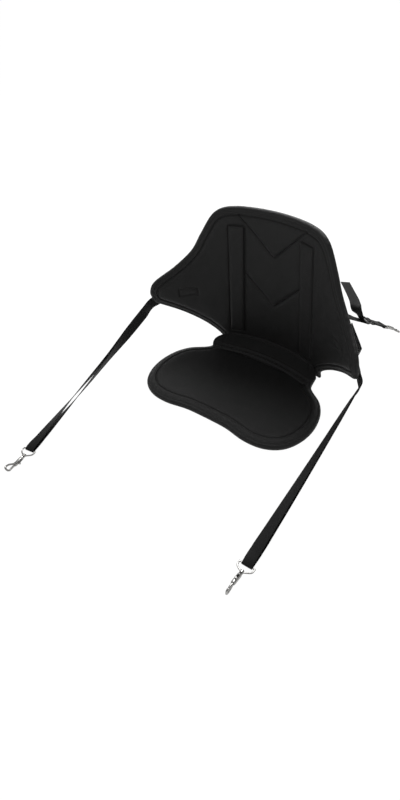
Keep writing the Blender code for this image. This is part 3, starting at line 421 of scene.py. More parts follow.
def back_points(across, rise, out):
    """Points at distances out of the back rest's rear face."""
    across, rise, out = np.broadcast_arrays(*(np.asarray(a, float) for a in (across, rise, out)))
    bend = wrap(rise)
    turn = across * bend
    side = np.array((1.0, 0.0, 0.0))
    normal = -np.sin(turn)[..., None] * side + np.cos(turn)[..., None] * FORWARD
    foot = np.array((0.0, HINGE_Y + BACK_SETBACK, BACK_FOOT))
    return (foot + (np.sin(turn) / bend)[..., None] * side + rise[..., None] * UPWARD
            + ((1 - np.cos(turn)) / bend)[..., None] * FORWARD + out[..., None] * normal)


def back_point(across, rise, out=0.0):
    """One such point."""
    return Vector(back_points(across, rise, out))


def back_tangent(across, rise):
    """Direction along the back rest's face away from the left."""
    turn = across * wrap(rise)
    return Vector((math.cos(turn), 0.0, 0.0)) + Vector(FORWARD) * math.sin(turn)


def back_rising(across, rise):
    """Direction up the back rest's face."""
    step = 0.001
    return (back_point(across, rise + step) - back_point(across, rise - step)).normalized()


def back_half_outline():
    """Right half of the back rest's outline from the foot to the top."""
    waist = (WAIST + 0.001, WAIST_RISE)
    tip_low = (WING - 0.0115, WING_RISE - WING_ROUND)
    tip_high = (WING - 0.0155, WING_RISE + WING_ROUND)
    shoulder = (SHOULDER, BACK_HEIGHT - SHOULDER_DROP)
    corner = (TOP, BACK_HEIGHT - TOP_CORNER)
    under = [lerp(waist, tip_low, 0.25), lerp(waist, tip_low, 0.6)]
    under = [(under[0][0] - 0.004, under[0][1] + 0.005), (under[1][0] - 0.003, under[1][1] + 0.004)]
    over = lerp(tip_high, shoulder, 0.5)
    points = [(WAIST, 0.0), waist, *under, tip_low, (WING - 0.001, WING_RISE - WING_ROUND * 0.3),
              (WING - 0.001, WING_RISE + WING_ROUND * 0.3), tip_high, (over[0] - 0.003, over[1] - 0.004),
              shoulder, lerp(shoulder, corner, 0.5), corner,
              (TOP - TOP_CORNER * 0.7, BACK_HEIGHT - TOP_CORNER * 0.38),
              (TOP - TOP_CORNER * 1.5, BACK_HEIGHT - TOP_CORNER * 0.1), (TOP - TOP_CORNER * 2.6, BACK_HEIGHT)]
    return smooth(points, 8)


def seat_rear_edge(x):
    """Rear edge of the seat pad, which follows the back rest's face."""
    level = SEAT_CROWN - BACK_FOOT
    across = math.asin(x * wrap(level)) / wrap(level)
    return back_point(across, level, BACK_CROWN).y - HINGE_GAP


def seat_half_outline():
    """Right half of the seat pad's outline, as its side and its rear edge."""
    front = HINGE_Y - SEAT_DEPTH
    wide = (SEAT_HALF_WIDTH, SEAT_WIDEST_Y)
    lobe = (SEAT_LOBE_X, front)
    heel = (WAIST - 0.0115, seat_rear_edge(WAIST - 0.0115))
    points = [(0.0, front + SEAT_NOTCH), (SEAT_LOBE_X / 2, front + SEAT_NOTCH * 0.85), lobe,
              (lobe[0] + (wide[0] - lobe[0]) * 0.42, front + 0.004),
              (lobe[0] + (wide[0] - lobe[0]) * 0.75, front + (wide[1] - front) * 0.24),
              (wide[0] - 0.0065, front + (wide[1] - front) * 0.58), wide,
              (wide[0] - 0.0075, wide[1] + (heel[1] - wide[1]) * 0.29),
              (wide[0] - 0.0275, wide[1] + (heel[1] - wide[1]) * 0.52),
              (heel[0] + 0.016, wide[1] + (heel[1] - wide[1]) * 0.685),
              (heel[0] + 0.006, wide[1] + (heel[1] - wide[1]) * 0.78), heel]
    rear = [(x, seat_rear_edge(x)) for x in np.linspace(heel[0], 0.0, 12)[1:]]
    return smooth(points, 8), np.array(rear)


SEAT_SIDE, SEAT_REAR = seat_half_outline()
SEAT_LOOP = mirrored_loop(np.vstack([SEAT_SIDE, SEAT_REAR]))
BACK_LOOP = mirrored_loop(np.vstack([[(0.0, 0.0)], back_half_outline(), [(0.0, BACK_HEIGHT)]]))


def swell(rim, edge, crown):
    """Thickness of a pad at a distance from its rim."""
    return edge + (crown - edge) * step_up(rim, 0.0, CROWN_REACH)


def seat_top(x, y):
    """Height of the seat pad's top face at one point, away from its seams."""
    return float(swell(distance(np.array([(x, y)]), SEAT_LOOP, True), SEAT_EDGE, SEAT_CROWN)[0])


def rib_centre(rise):
    """Centre line of a rib."""
    return RIB_FOOT + (RIB_HEAD - RIB_FOOT) * (rise - RIB_FOOT_RISE) / (RIB_HEAD_RISE - RIB_FOOT_RISE)


# Materials

def linear(code):
    """A linear colour from an sRGB hex value."""
    parts = [int(code[i:i + 2], 16) / 255 for i in (1, 3, 5)]
    return (*[c / 12.92 if c <= 0.04045 else ((c + 0.055) / 1.055) ** 2.4 for c in parts], 1.0)


def add_node(tree, kind, settings=None, links=None):
    """A node with its settings and the sockets that feed it."""
    node = tree.nodes.new(kind)
    for key, value in (settings or {}).items():
        if isinstance(key, str) and hasattr(node, key):
            setattr(node, key, value)
        else:
            node.inputs[key].default_value = value
    for key, source in (links or {}).items():
        tree.links.new(source, node.inputs[key])
    return node


def new_material(name, colour, roughness, **sockets):
    """A Principled material, with its tree and shader."""
    made = bpy.data.materials.new(name)
    made.use_nodes = True
    shader = made.node_tree.nodes["Principled BSDF"]
    shader.inputs["Base Color"].default_value = colour
    shader.inputs["Roughness"].default_value = roughness
    for key, value in sockets.items():
        shader.inputs[key.replace("_", " ")].default_value = value
    return made, made.node_tree, shader


def calc(tree, operation, *inputs):
    """The result of a Math node whose inputs are numbers or sockets."""
    numbers = {i: value for i, value in enumerate(inputs) if isinstance(value, float)}
    sockets = {i: value for i, value in enumerate(inputs) if i not in numbers}
    return add_node(tree, "ShaderNodeMath", {"operation": operation, **numbers}, sockets).outputs[0]


def thread_wave(tree, coordinate, pitch, phase=0.0):
    """Sine along one coordinate that repeats at a real pitch."""
    return calc(tree, "SINE", calc(tree, "ADD", calc(tree, "MULTIPLY", coordinate, 2 * math.pi / pitch), phase))


def cloud(tree, coordinates, pitch, detail=3.0):
    """Soft noise with features of a real size."""
    return add_node(tree, "ShaderNodeTexNoise", {"Scale": 1 / pitch, "Detail": detail, "Roughness": 0.55},
                    {"Vector": coordinates}).outputs["Fac"]


def tinted(tree, shader, colour, factor, dark, light):
    """Feeds the colour through a ramp from a darker to a lighter shade of it."""
    ramp = add_node(tree, "ShaderNodeValToRGB", links={"Fac": factor})
    for stop, (position, gain) in zip(ramp.color_ramp.elements, ((0.3, dark), (0.7, light))):
        stop.position = position
        stop.color = (*[c * gain for c in colour[:3]], 1.0)
    tree.links.new(ramp.outputs["Color"], shader.inputs["Base Color"])


def bumped(tree, shader, height, strength, depth):
    """Feeds a height into the shader's normal."""
    bump = add_node(tree, "ShaderNodeBump", {"Strength": strength, "Distance": depth}, {"Height": height})
    tree.links.new(bump.outputs["Normal"], shader.inputs["Normal"])


def cloth_axes(tree):
    """The UV map in metres, and its two axes."""
    uv = add_node(tree, "ShaderNodeUVMap").outputs["UV"]
    axes = add_node(tree, "ShaderNodeSeparateXYZ", links={0: uv})
    return uv, axes.outputs["X"], axes.outputs["Y"]


def solid_place(tree):
    """Object coordinates."""
    return add_node(tree, "ShaderNodeTexCoord").outputs["Object"]


def make_polyester(colour):
    """Knitted polyester laminated on moulded foam: a matt black cloth with a fine dotted knit."""
    made, tree, shader = new_material("knitted_polyester", colour, 0.56, IOR=1.5, Specular_IOR_Level=0.34,
                                      Sheen_Weight=0.03, Sheen_Roughness=0.45)
    uv, course, wale = cloth_axes(tree)
    # Stitches of the knit are about 0.5 mm; they are drawn at 1.3 mm so that they show at this scale
    knit = calc(tree, "MULTIPLY", thread_wave(tree, course, 0.0013), thread_wave(tree, wale, 0.0013, 1.0))
    rough = calc(tree, "MULTIPLY", cloud(tree, uv, 0.004), 0.9)
    bumped(tree, shader, calc(tree, "ADD", knit, rough), 0.55, 0.00022)
    # Handling leaves the nap lying in slightly different directions, in patches a hand wide
    tinted(tree, shader, colour, cloud(tree, uv, 0.055), 0.86, 1.14)
    return made


def make_hinge_cloth(colour):
    """Woven polyester over thin foam at the hinge: a plain weave, with painted light: the pad fabric's colour
    drawn 1.3 to 1.8 times lighter in soft patches, in place of the light that the raised web catches.
    """
    made, tree, shader = new_material("woven_polyester", colour, 0.66, IOR=1.5, Specular_IOR_Level=0.35,
                                      Sheen_Weight=0.12, Sheen_Roughness=0.4)
    uv, warp, weft = cloth_axes(tree)
    weave = calc(tree, "MULTIPLY", thread_wave(tree, warp, 0.0011), thread_wave(tree, weft, 0.0011, 0.7))
    bumped(tree, shader, weave, 0.5, 0.00018)
    # Painted light: the pad fabric's colour made 1.3 to 1.8 times lighter, so the raised web shows as a lit
    # strip
    tinted(tree, shader, colour, cloud(tree, uv, 0.030), 1.3, 1.8)
    return made


def make_webbing(colour):
    """Polypropylene webbing: heavy woven ribs along and across the tape, with a slight plastic sheen."""
    made, tree, shader = new_material("polypropylene_webbing", colour, 0.66, IOR=1.49, Specular_IOR_Level=0.2,
                                      Sheen_Weight=0.03, Sheen_Roughness=0.35)
    pitch = bpy.context.scene.kayak_seat_straps.rib_pitch
    uv, across, along = cloth_axes(tree)
    # Warp cords lie about 1 mm apart and the weft ticks 1.8 mm, in a herringbone that turns at the middle
    slant = calc(tree, "MULTIPLY_ADD", calc(tree, "ABSOLUTE", across), 0.7, along)
    tick = thread_wave(tree, slant, pitch)
    cord = thread_wave(tree, across, pitch * 0.6)
    bumped(tree, shader, calc(tree, "MULTIPLY_ADD", cord, 0.6, tick), 0.22, 0.00012)
    tinted(tree, shader, colour, cloud(tree, uv, 0.018), 0.9, 1.18)
    return made


def make_acetal(colour):
    """Moulded acetal: a smooth dark plastic with a soft gloss and a faint mould grain."""
    made, tree, shader = new_material("moulded_acetal", colour, 0.36, IOR=1.48, Specular_IOR_Level=0.5)
    place = solid_place(tree)
    bumped(tree, shader, cloud(tree, place, 0.0009), 0.15, 0.0001)
    tinted(tree, shader, colour, cloud(tree, place, 0.012), 0.9, 1.15)
    return made


def make_thread(colour):
    """Bonded nylon thread: slightly shiny against the matt cloth."""
    made, tree, shader = new_material("bonded_nylon_thread", colour, 0.42, IOR=1.53, Specular_IOR_Level=0.45)
    place = solid_place(tree)
    tinted(tree, shader, colour, cloud(tree, place, 0.003), 0.85, 1.2)
    return made


def make_nickel(colour):
    """Die-cast zinc with bright nickel plate: mirror-like, softened by a slight orange peel."""
    made, tree, shader = new_material("nickel_plated_zinc", colour, 0.16, Metallic=1.0)
    place = solid_place(tree)
    # Polish left by the barrel tumbling, in dimples about 0.8 mm wide
    bumped(tree, shader, cloud(tree, place, 0.0008), 0.18, 0.00008)
    rough = add_node(tree, "ShaderNodeMapRange", {"To Min": 0.12, "To Max": 0.26},
                     {"Value": cloud(tree, place, 0.004)})
    tree.links.new(rough.outputs["Result"], shader.inputs["Roughness"])
    tinted(tree, shader, colour, cloud(tree, place, 0.006), 0.9, 1.05)
    return made


def make_spring_steel(colour):
    """Drawn spring wire: grey with a satin shine."""
    made, tree, shader = new_material("spring_wire", colour, 0.32, Metallic=1.0)
    place = solid_place(tree)
    tinted(tree, shader, colour, cloud(tree, place, 0.002), 0.85, 1.1)
    return made


def make_glass_fibre(colour):
    """Pultruded glass fibre: pale resin with long grain."""
    made, tree, shader = new_material("pultruded_glass_fibre", colour, 0.48, IOR=1.52)
    place = solid_place(tree)
    drawn_out = add_node(tree, "ShaderNodeMapping", {"Scale": (1.0, 1.0, 0.06)}, {"Vector": place})
    tinted(tree, shader, colour, cloud(tree, drawn_out.outputs["Vector"], 0.0012), 0.8, 1.08)
    return made


def make_backdrop(colour):
    """Matt paper sweep that reads as plain white but still takes the seat's shadow."""
    made = bpy.data.materials.new("paper_sweep")
    made.use_nodes = True
    tree = made.node_tree
    tree.nodes.clear()
    paper = add_node(tree, "ShaderNodeBsdfDiffuse", {"Color": colour})
    white = add_node(tree, "ShaderNodeEmission", {"Color": (1.0, 1.0, 1.0, 1.0), "Strength": 1.05})
    path = add_node(tree, "ShaderNodeLightPath")
    mirrored = calc(tree, "MULTIPLY", path.outputs["Is Glossy Ray"], 0.5)
    seen = calc(tree, "MAXIMUM", path.outputs["Is Camera Ray"], mirrored)
    clear = calc(tree, "MAXIMUM", seen, path.outputs["Is Transmission Ray"])
    share = calc(tree, "MULTIPLY", clear, 0.94)
    mixed = add_node(tree, "ShaderNodeMixShader", links={0: share, 1: paper.outputs[0], 2: white.outputs[0]})
    add_node(tree, "ShaderNodeOutputMaterial", links={"Surface": mixed.outputs[0]})
    return made


# Finishes by material name, with their maker and the setting that holds their colour
FINISHES = {
    "knitted_polyester": (make_polyester, "fabric"),
    "woven_polyester": (make_hinge_cloth, "fabric"),
    "polypropylene_webbing": (make_webbing, "webbing"),
    "moulded_acetal": (make_acetal, "buckle"),
    "bonded_nylon_thread": (make_thread, "thread"),
    "nickel_plated_zinc": (make_nickel, "nickel"),
    "spring_wire": (make_spring_steel, "steel"),
    "pultruded_glass_fibre": (make_glass_fibre, "stay"),
    "paper_sweep": (make_backdrop, "backdrop"),
}


def finish(name):
    """A finish by name, made on first use."""
    made = bpy.data.materials.get(name)
    if made:
        return made
    maker, key = FINISHES[name]
    return maker(linear(getattr(bpy.context.scene.kayak_seat_finish, key)))


# Mesh builders

def placed_object(name, data):
    """An object linked to the scene."""
    obj = bpy.data.objects.new(name, data)
    bpy.context.scene.collection.objects.link(obj)
    return obj


def add_piece(name, mesh, finish_name, body, at=None):
    """A piece of the object that rides on a body."""
    obj = placed_object(name, mesh)
    if at is not None:
        obj.matrix_world = at
    if not mesh.materials:
        mesh.materials.append(finish(finish_name))
    for face in mesh.polygons:
        face.use_smooth = True
    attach(obj, body)
    return obj


def mesh_of(name, bm):
    """A mesh from a bmesh, which is freed."""
    mesh = bpy.data.meshes.new(name)
    bm.to_mesh(mesh)
    bm.free()
    return mesh


def closed_up(mesh):
    """Drops the loose points of a closed mesh and turns its faces outwards."""
    bm = bmesh.new()
    bm.from_mesh(mesh)
    bmesh.ops.delete(bm, geom=[v for v in bm.verts if not v.link_faces], context="VERTS")
    bmesh.ops.recalc_face_normals(bm, faces=bm.faces)
    bm.to_mesh(mesh)
    bm.free()
    return mesh


def mesh_from(name, points, faces, uvs=None):
    """A mesh with an optional UV map of one value per point."""
    mesh = bpy.data.meshes.new(name)
    mesh.from_pydata([tuple(p) for p in points], [], faces)
    if uvs is not None:
        corners = np.empty(len(mesh.loops), dtype=np.int32)
        mesh.loops.foreach_get("vertex_index", corners)
        layer = mesh.uv_layers.new(name="UVMap")
        layer.data.foreach_set("uv", np.asarray(uvs, np.float32)[corners].ravel())
    mesh.update()
    return mesh


def panel(name, loop, lines, top, bottom, place, facet):
    """A closed padded panel, with its points laid along the rim and the seams."""
    loop = resampled(loop, LINE_SPACING, closed=True)
    rows = [loop] + [inset(loop, by, RIM_ROW_SPACING) for by in RIM_ROWS]
    for line, closed, offsets in lines:
        even = resampled(line, LINE_SPACING, closed)
        rows += [even + by * sideways(even, closed) for by in offsets]
    low, high = loop.min(axis=0), loop.max(axis=0)
    columns = np.arange(low[0], high[0], facet)
    ranks = np.arange(low[1], high[1], facet * 0.866)
    grid = np.array([(x + (i % 2) * facet / 2, y) for i, y in enumerate(ranks) for x in columns])
    keep = distance(grid, loop, True) > GRID_FROM_RIM
    for line, closed, offsets in lines:
        keep &= distance(grid, line, closed) > max(offsets) + facet * 0.45
    points = np.vstack([*rows, grid[keep]])
    border = list(range(len(loop)))
    flat, _, faces, origin, _, _ = delaunay_2d_cdt([Vector(p) for p in points], [], [border], 1, 1e-6)
    flat = np.array([tuple(p) for p in flat])
    rim = distance(flat, loop, True)
    upper, lower = top(flat, rim), bottom(flat, rim)
    on_rim = np.array([any(j < len(loop) for j in start) for start in origin])
    upper[on_rim] = ((upper + lower) / 2)[on_rim]
    inner = np.flatnonzero(~on_rim)
    behind = np.arange(len(flat))
    behind[inner] = len(flat) + np.arange(len(inner))
    spots = np.vstack([place(flat, upper), place(flat[inner], lower[inner])])
    outward = [tuple(f) for f in faces]
    inward = [tuple(int(behind[i]) for i in reversed(f)) for f in faces]
    return closed_up(mesh_from(name, spots, outward + inward, np.vstack([flat, flat[inner]])))


def rounded(rim, radius):
    """Quarter-round profile from 0 at the rim to 1."""
    share = np.clip(rim / radius, 0.0, 1.0)
    return np.sqrt(np.clip(1 - (1 - share) ** 2, 0.0, 1.0))


def pressed(apart, depth, soft=SEAM_SOFT):
    """Depth of a sewn channel: a narrow line at the bottom of a soft hollow."""
    return depth * (0.55 * np.exp(-(apart / SEAM_SHARP) ** 2) + 0.45 * np.exp(-(apart / soft) ** 2))


def dent(apart, depth, width):
    """Depth of a shallow line at a distance from its middle."""
    return depth * np.exp(-(apart / width) ** 2)


def span_points(a, b, c, d, count):
    """Points from b up to c, on a curve whose pull at each end fits the length of the span."""
    before, here, after = (max(float(np.linalg.norm(q - p)), 1e-6) for p, q in ((a, b), (b, c), (c, d)))
    ahead = (c - b) / here
    leave = ((b - a) / before * here + ahead * before) / (before + here) * here
    reach = (ahead * after + (d - c) / after * here) / (here + after) * here
    t = np.arange(count)[:, None] / count
    return ((2 * t ** 3 - 3 * t ** 2 + 1) * b + (t ** 3 - 2 * t ** 2 + t) * leave
            + (3 * t ** 2 - 2 * t ** 3) * c + (t ** 3 - t ** 2) * reach)


def tape(name, stations, width=WEBBING, thickness=WEBBING_THICKNESS, closed=False, step=0.003, eye=None):
    """Webbing along (point, across) stations, with soft selvedges and a UV map in metres.

    Near an eye it bunches up and gets narrower.
    """
    points = np.array([tuple(p) for p, _ in stations])
    across = np.array([tuple(a) for _, a in stations])
    if closed:
        points = np.vstack([points[-1:], points, points[:2]])
        across = np.vstack([across[-1:], across, across[:2]])
    else:
        points = np.vstack([2 * points[:1] - points[1:2], points, 2 * points[-1:] - points[-2:-1]])
        across = np.vstack([across[:1], across, across[-1:]])
    line, wide = [], []
    for i in range(1, len(points) - 2):
        count = max(2, int(math.ceil(np.linalg.norm(points[i + 1] - points[i]) / step)))
        line.extend(span_points(*points[i - 1:i + 3], count))
        wide.extend(across[i] * (1 - j / count) + across[i + 1] * (j / count) for j in range(count))
    if not closed:
        line.append(points[-2])
        wide.append(across[-2])
    line, wide = np.array(line), np.array(wide)
    count = len(line)
    along = direction(line, closed)
    wide = unit_rows(wide - along * (wide * along).sum(axis=1)[:, None])
    up = np.cross(along, wide)
    run = run_along(line)
    shape = list(zip(TAPE_ACROSS, TAPE_UP))
    shape += [(s, -h) for s, h in reversed(shape)]
    rings = len(shape)
    share = np.ones(count)
    if eye is not None:
        apart = np.linalg.norm(line - np.array(tuple(eye)), axis=1)
        share -= (1 - EYE_PINCH) * np.exp(-(apart / EYE_PINCH_REACH) ** 2)
    half = wide * (width / 2 * share)[:, None]
    body = np.concatenate([line + half * s + up * (h * thickness / 2) for s, h in shape])
    uvs = np.concatenate([np.stack([np.full(count, s * width / 2), run], axis=1) for s, _ in shape])
    faces = []
    for k in range(rings):
        n = (k + 1) % rings
        for i in range(count if closed else count - 1):
            j = (i + 1) % count
            faces.append((k * count + i, k * count + j, n * count + j, n * count + i))
    if not closed:
        faces.append([k * count for k in range(rings)])
        faces.append([k * count + count - 1 for k in reversed(range(rings))])
    return closed_up(mesh_from(name, body, faces, uvs)), float(run[-1])


def stitch_row(lines, pitch, radius):
    """Points and faces of thread stitches along (position, normal) lines."""
    points, faces = [], []
    for line, normals in lines:
        run = run_along(line)
        for start in np.arange(pitch * 0.2, run[-1] - pitch * 0.8, pitch):
            spots = [start + pitch * share for share in (0.0, 0.35, 0.7)]
            centre = np.stack([[np.interp(s, run, line[:, i]) for i in range(3)] for s in spots])
            normal = np.array([np.interp(spots[1], run, normals[:, i]) for i in range(3)])
            along = centre[2] - centre[0]
            side = np.cross(along, normal)
            side /= max(np.linalg.norm(side), 1e-9)
            first = len(points)
            points.append(centre[0] - normal * radius)
            for turn in range(THREAD_SIDES):
                angle = turn * 2 * math.pi / THREAD_SIDES
                points.append(centre[1] + radius * (math.cos(angle) * side + math.sin(angle) * normal))
            points.append(centre[2] - normal * radius)
            for turn in range(THREAD_SIDES):
                a, b = first + 1 + turn, first + 1 + (turn + 1) % THREAD_SIDES
                faces.append((first, b, a))
                faces.append((first + THREAD_SIDES + 1, a, b))
    return points, faces


def add_thread(name, rows, pitch_share=1.0):
    """Thread along (position, outward vector) rows."""
    straps = bpy.context.scene.kayak_seat_straps
    lines = [(line, unit_rows(out)) for line, out in rows]
    points, faces = stitch_row(lines, straps.stitch_pitch * pitch_share, straps.thread)
    add_piece(name, mesh_from(name, points, faces), "bonded_nylon_thread", SEAT)


# Padded panels

def seat_groove():
    """The seat pad's seam: beside its rim, and straight across in front of the hinge web."""
    side = SEAT_SIDE[SEAT_SIDE[:, 1] < SEAT_GROOVE_REAR]
    last = side[-1]
    across = [(last[0] - 0.004, SEAT_GROOVE_REAR), (0.0, SEAT_GROOVE_REAR + 0.004)]
    loop = mirrored_loop(np.vstack([side, across]))
    return inset(loop, bpy.context.scene.kayak_seat_pads.seat_groove_inset, 0.002)


def seat_rim_line():
    """The faint line along the seat pad's rim."""
    return inset(SEAT_LOOP, bpy.context.scene.kayak_seat_pads.rim_line_inset * SEAT_LINE_SHARE, 0.003)


def back_groove():
    """The back rest's seam beside its rim."""
    return inset(BACK_LOOP, bpy.context.scene.kayak_seat_pads.back_groove_inset, 0.002)


def back_rim_line():
    """The faint line along the back rest's rim."""
    return inset(BACK_LOOP, bpy.context.scene.kayak_seat_pads.rim_line_inset, 0.003)


def chevron(point, half, ends):
    """One V-shaped seam."""
    shares = np.linspace(-1.0, 1.0, 81)
    blunt = np.sqrt(shares ** 2 + 0.0016)
    return np.stack([half * shares, point + (ends - point) * blunt], axis=1)


def rib_border(hand):
    """Closed outline of one rib."""
    rises = np.linspace(RIB_FOOT_RISE, RIB_HEAD_RISE, 24)
    outer = [(hand * (rib_centre(r) + RIB_WIDTH / 2), r) for r in rises]
    inner = [(hand * (rib_centre(r) - RIB_WIDTH / 2), r) for r in rises[::-1]]
    return np.array(outer + inner)[::hand]


def sewn_box(hand, margin=0.0):
    """Closed outline of the stitched box on one wing."""
    half = SEWN_HEIGHT / 2 - margin
    low, high = SEWN_INNER + margin, SEWN_OUTER - margin
    box = [(low, -half), (high, -half), (high, half), (low, half)]
    return np.array([(hand * u, SEWN_RISE + v) for u, v in box])[::hand]


def place_seat(flat, out):
    """Seat pad points from their plan and height."""
    return np.stack([flat[:, 0], flat[:, 1], out], axis=1)


def place_back(flat, out):
    """Back rest points from their place on its face and distance out of it."""
    return back_points(flat[:, 0], flat[:, 1], out)


def seat_surface(flat, rim):
    """Height of the seat pad's top."""
    pads = bpy.context.scene.kayak_seat_pads
    height = swell(rim, SEAT_EDGE, SEAT_CROWN)
    height = height - pressed(distance(flat, seat_groove(), True), pads.groove_depth)
    height = height + waves(flat, *SEAT_WAVES) * pads.ripple * step_up(rim, RIPPLE_FROM, RIPPLE_FULL)
    height = height - dent(distance(flat, seat_rim_line(), True), *SEAT_LINE_DENT)
    curl = rounded(rim, SEAT_ROUND)
    return height * curl + (1 - curl) * SEAT_EDGE * SEAT_RIM_TOP


def seat_underside(flat, rim):
    """Height of the seat pad's underside."""
    return SEAT_EDGE * SEAT_RIM_FOOT * (1 - rounded(rim, REAR_ROUND))


def back_surface(flat, rim):
    """Distance of the back rest's front face from its rear face."""
    pads = bpy.context.scene.kayak_seat_pads
    height = swell(rim, BACK_EDGE, BACK_CROWN)
    height = height - pressed(distance(flat, back_groove(), True), pads.groove_depth, BACK_SEAM_SOFT)
    height = height - dent(distance(flat, back_rim_line(), True), *BACK_LINE_DENT)
    for shape in CHEVRONS:
        height = height - pressed(distance(flat, chevron(*shape), False), pads.groove_depth)
    reach = np.abs(flat[:, 0])
    inside = np.minimum(RIB_WIDTH / 2 - np.abs(reach - rib_centre(flat[:, 1])),
                        np.minimum(flat[:, 1] - RIB_FOOT_RISE, RIB_HEAD_RISE - flat[:, 1]))
    height = height + pads.rib_raise * step_up(inside, -0.0004, 0.0014)
    height = height - dent(inside + 0.0009, *RIB_DENT)
    for _, hand in SIDES:
        height = height - dent(distance(flat, sewn_box(hand), True), *SEWN_DENT)
    height = height + waves(flat, *BACK_WAVES) * pads.ripple * step_up(rim, RIPPLE_FROM, RIPPLE_FULL)
    curl = rounded(rim, BACK_ROUND)
    return height * curl + (1 - curl) * BACK_EDGE * BACK_RIM_TOP


def back_rear(flat, rim):
    """Distance of the back rest's rear face from its nominal place."""
    return BACK_EDGE * BACK_RIM_FOOT * (1 - rounded(rim, REAR_ROUND))


def sewn_lines():
    """Every seam on the back rest, as (line, closed)."""
    lines = [(back_groove(), True)]
    lines += [(chevron(*shape), False) for shape in CHEVRONS]
    return lines + [(sewn_box(hand), True) for _, hand in SIDES]


def add_stitches(name, lines, surface, place, rim_loop, lift=0.00012):
    """Thread along seams on a panel."""
    rows = []
    for line, closed in lines:
        even = resampled(line, 0.002, closed)
        if closed:
            even = np.vstack([even, even[:1]])
        height = surface(even, distance(even, rim_loop, True))
        rows.append((place(even, height + lift), place(even, height + 0.001) - place(even, height)))
    add_thread(name, rows)


def add_pad(name, loop, lines, surface, underside, place, node, seams):
    """A padded panel in place of its solid, with the thread of its seams."""
    facet = bpy.context.scene.kayak_seat_pads.facet
    mesh = panel(name, loop, lines, surface, underside, place, facet)
    piece = add_piece(name, mesh, "knitted_polyester", SEAT)
    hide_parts(node)
    add_stitches(name + "_stitches", seams, surface, place, loop)


class KAYAKSEAT_OT_seat_pad(bpy.types.Operator):
    """Build the moulded seat pad"""

    bl_idname = "kayakseat.seat_pad"
    bl_label = "Seat Pad"

    def execute(self, context):
        lines = [(seat_groove(), True, SEAM_ROWS), (seat_rim_line(), True, (0.0, 0.0009, -0.0007))]
        add_pad("seat_panel", SEAT_LOOP, lines, seat_surface, seat_underside, place_seat, "seat_pad",
                [(seat_groove(), True)])
        return {"FINISHED"}


class KAYAKSEAT_OT_back_rest(bpy.types.Operator):
    """Build the winged back rest with its ribs and seams"""

    bl_idname = "kayakseat.back_rest"
    bl_label = "Back Rest"

    def execute(self, context):
        lines = [(back_groove(), True, SEAM_ROWS), (back_rim_line(), True, (0.0, 0.001, -0.001))]
        lines += [(chevron(*shape), False, SEAM_ROWS) for shape in CHEVRONS]
        for _, hand in SIDES:
            lines.append((rib_border(hand), True, (0.0, 0.0007, 0.0014, -0.0007, -0.0014, -0.0022)))
            lines.append((sewn_box(hand), True, (0.0, 0.0008, -0.0008, -0.0016)))
        add_pad("back_panel", BACK_LOOP, lines, back_surface, back_rear, place_back, "back_pad", sewn_lines())
        return {"FINISHED"}


def web_surface(s, t, lift):
    """A point of the hinge web: s across and t up from the seat pad, both from -1 to 1."""
    low_x, high_u = s * WEB_HALF_LOW, s * WEB_HALF_HIGH
    edge = seat_rear_edge(low_x)
    crown_back = float(swell(np.array([WEB_ON_BACK - WEB_SEAM / 2]), BACK_EDGE, BACK_CROWN)[0])
    line = [Vector((low_x, edge - d, seat_top(low_x, edge - d) + lift))
            for d in (WEB_ON_SEAT, WEB_ON_SEAT - WEB_SEAM)]
    line += [back_point(high_u, r, crown_back + lift) for r in (WEB_ON_BACK - WEB_SEAM, WEB_ON_BACK)]
    line[2] = line[2] + Vector(UPWARD) * (lift * 0.8)
    run = np.concatenate([[0.0], np.cumsum([(b - a).length for a, b in zip(line, line[1:])])])
    point = np.array([np.interp((t + 1) / 2 * run[-1], run, [p[i] for p in line]) for i in range(3)])
    point[0] += WEB_EAR * s * s * s * math.sin(math.pi * (t + 1) / 2)
    return point


def peak(apart, width):
    """Smooth rise from 0 to 1 round one place."""
    return math.exp(-(apart / width) ** 2)


def web_swell(s, t):
    """Height of the hinge web's outer face over its inner one, with its sewn line, rolls and end folds."""
    rim = min(1.0, (1 - abs(s)) / 0.025, (1 - abs(t)) / 0.06)
    crease = peak(t - WEB_SEWN_AT[0], 0.05)
    roll = peak(t + 0.90, 0.07) + 0.8 * peak(t + 0.42, 0.06)
    fold = peak(abs(s) - 0.86 - 0.05 * t, 0.025)
    fold += 0.7 * peak(abs(s) - 0.95, 0.02) * (1 - t) / 2
    soft = 0.25 * math.sin(s * 21 + 2.2 * t) * math.sin(t * 3.0 + s * 5)
    return WEB_THICKNESS * math.sqrt(max(0.0, 1 - (1 - rim) ** 2)) * (
        0.85 + 0.6 * roll - 0.75 * crease - 0.5 * fold + 0.25 * soft)


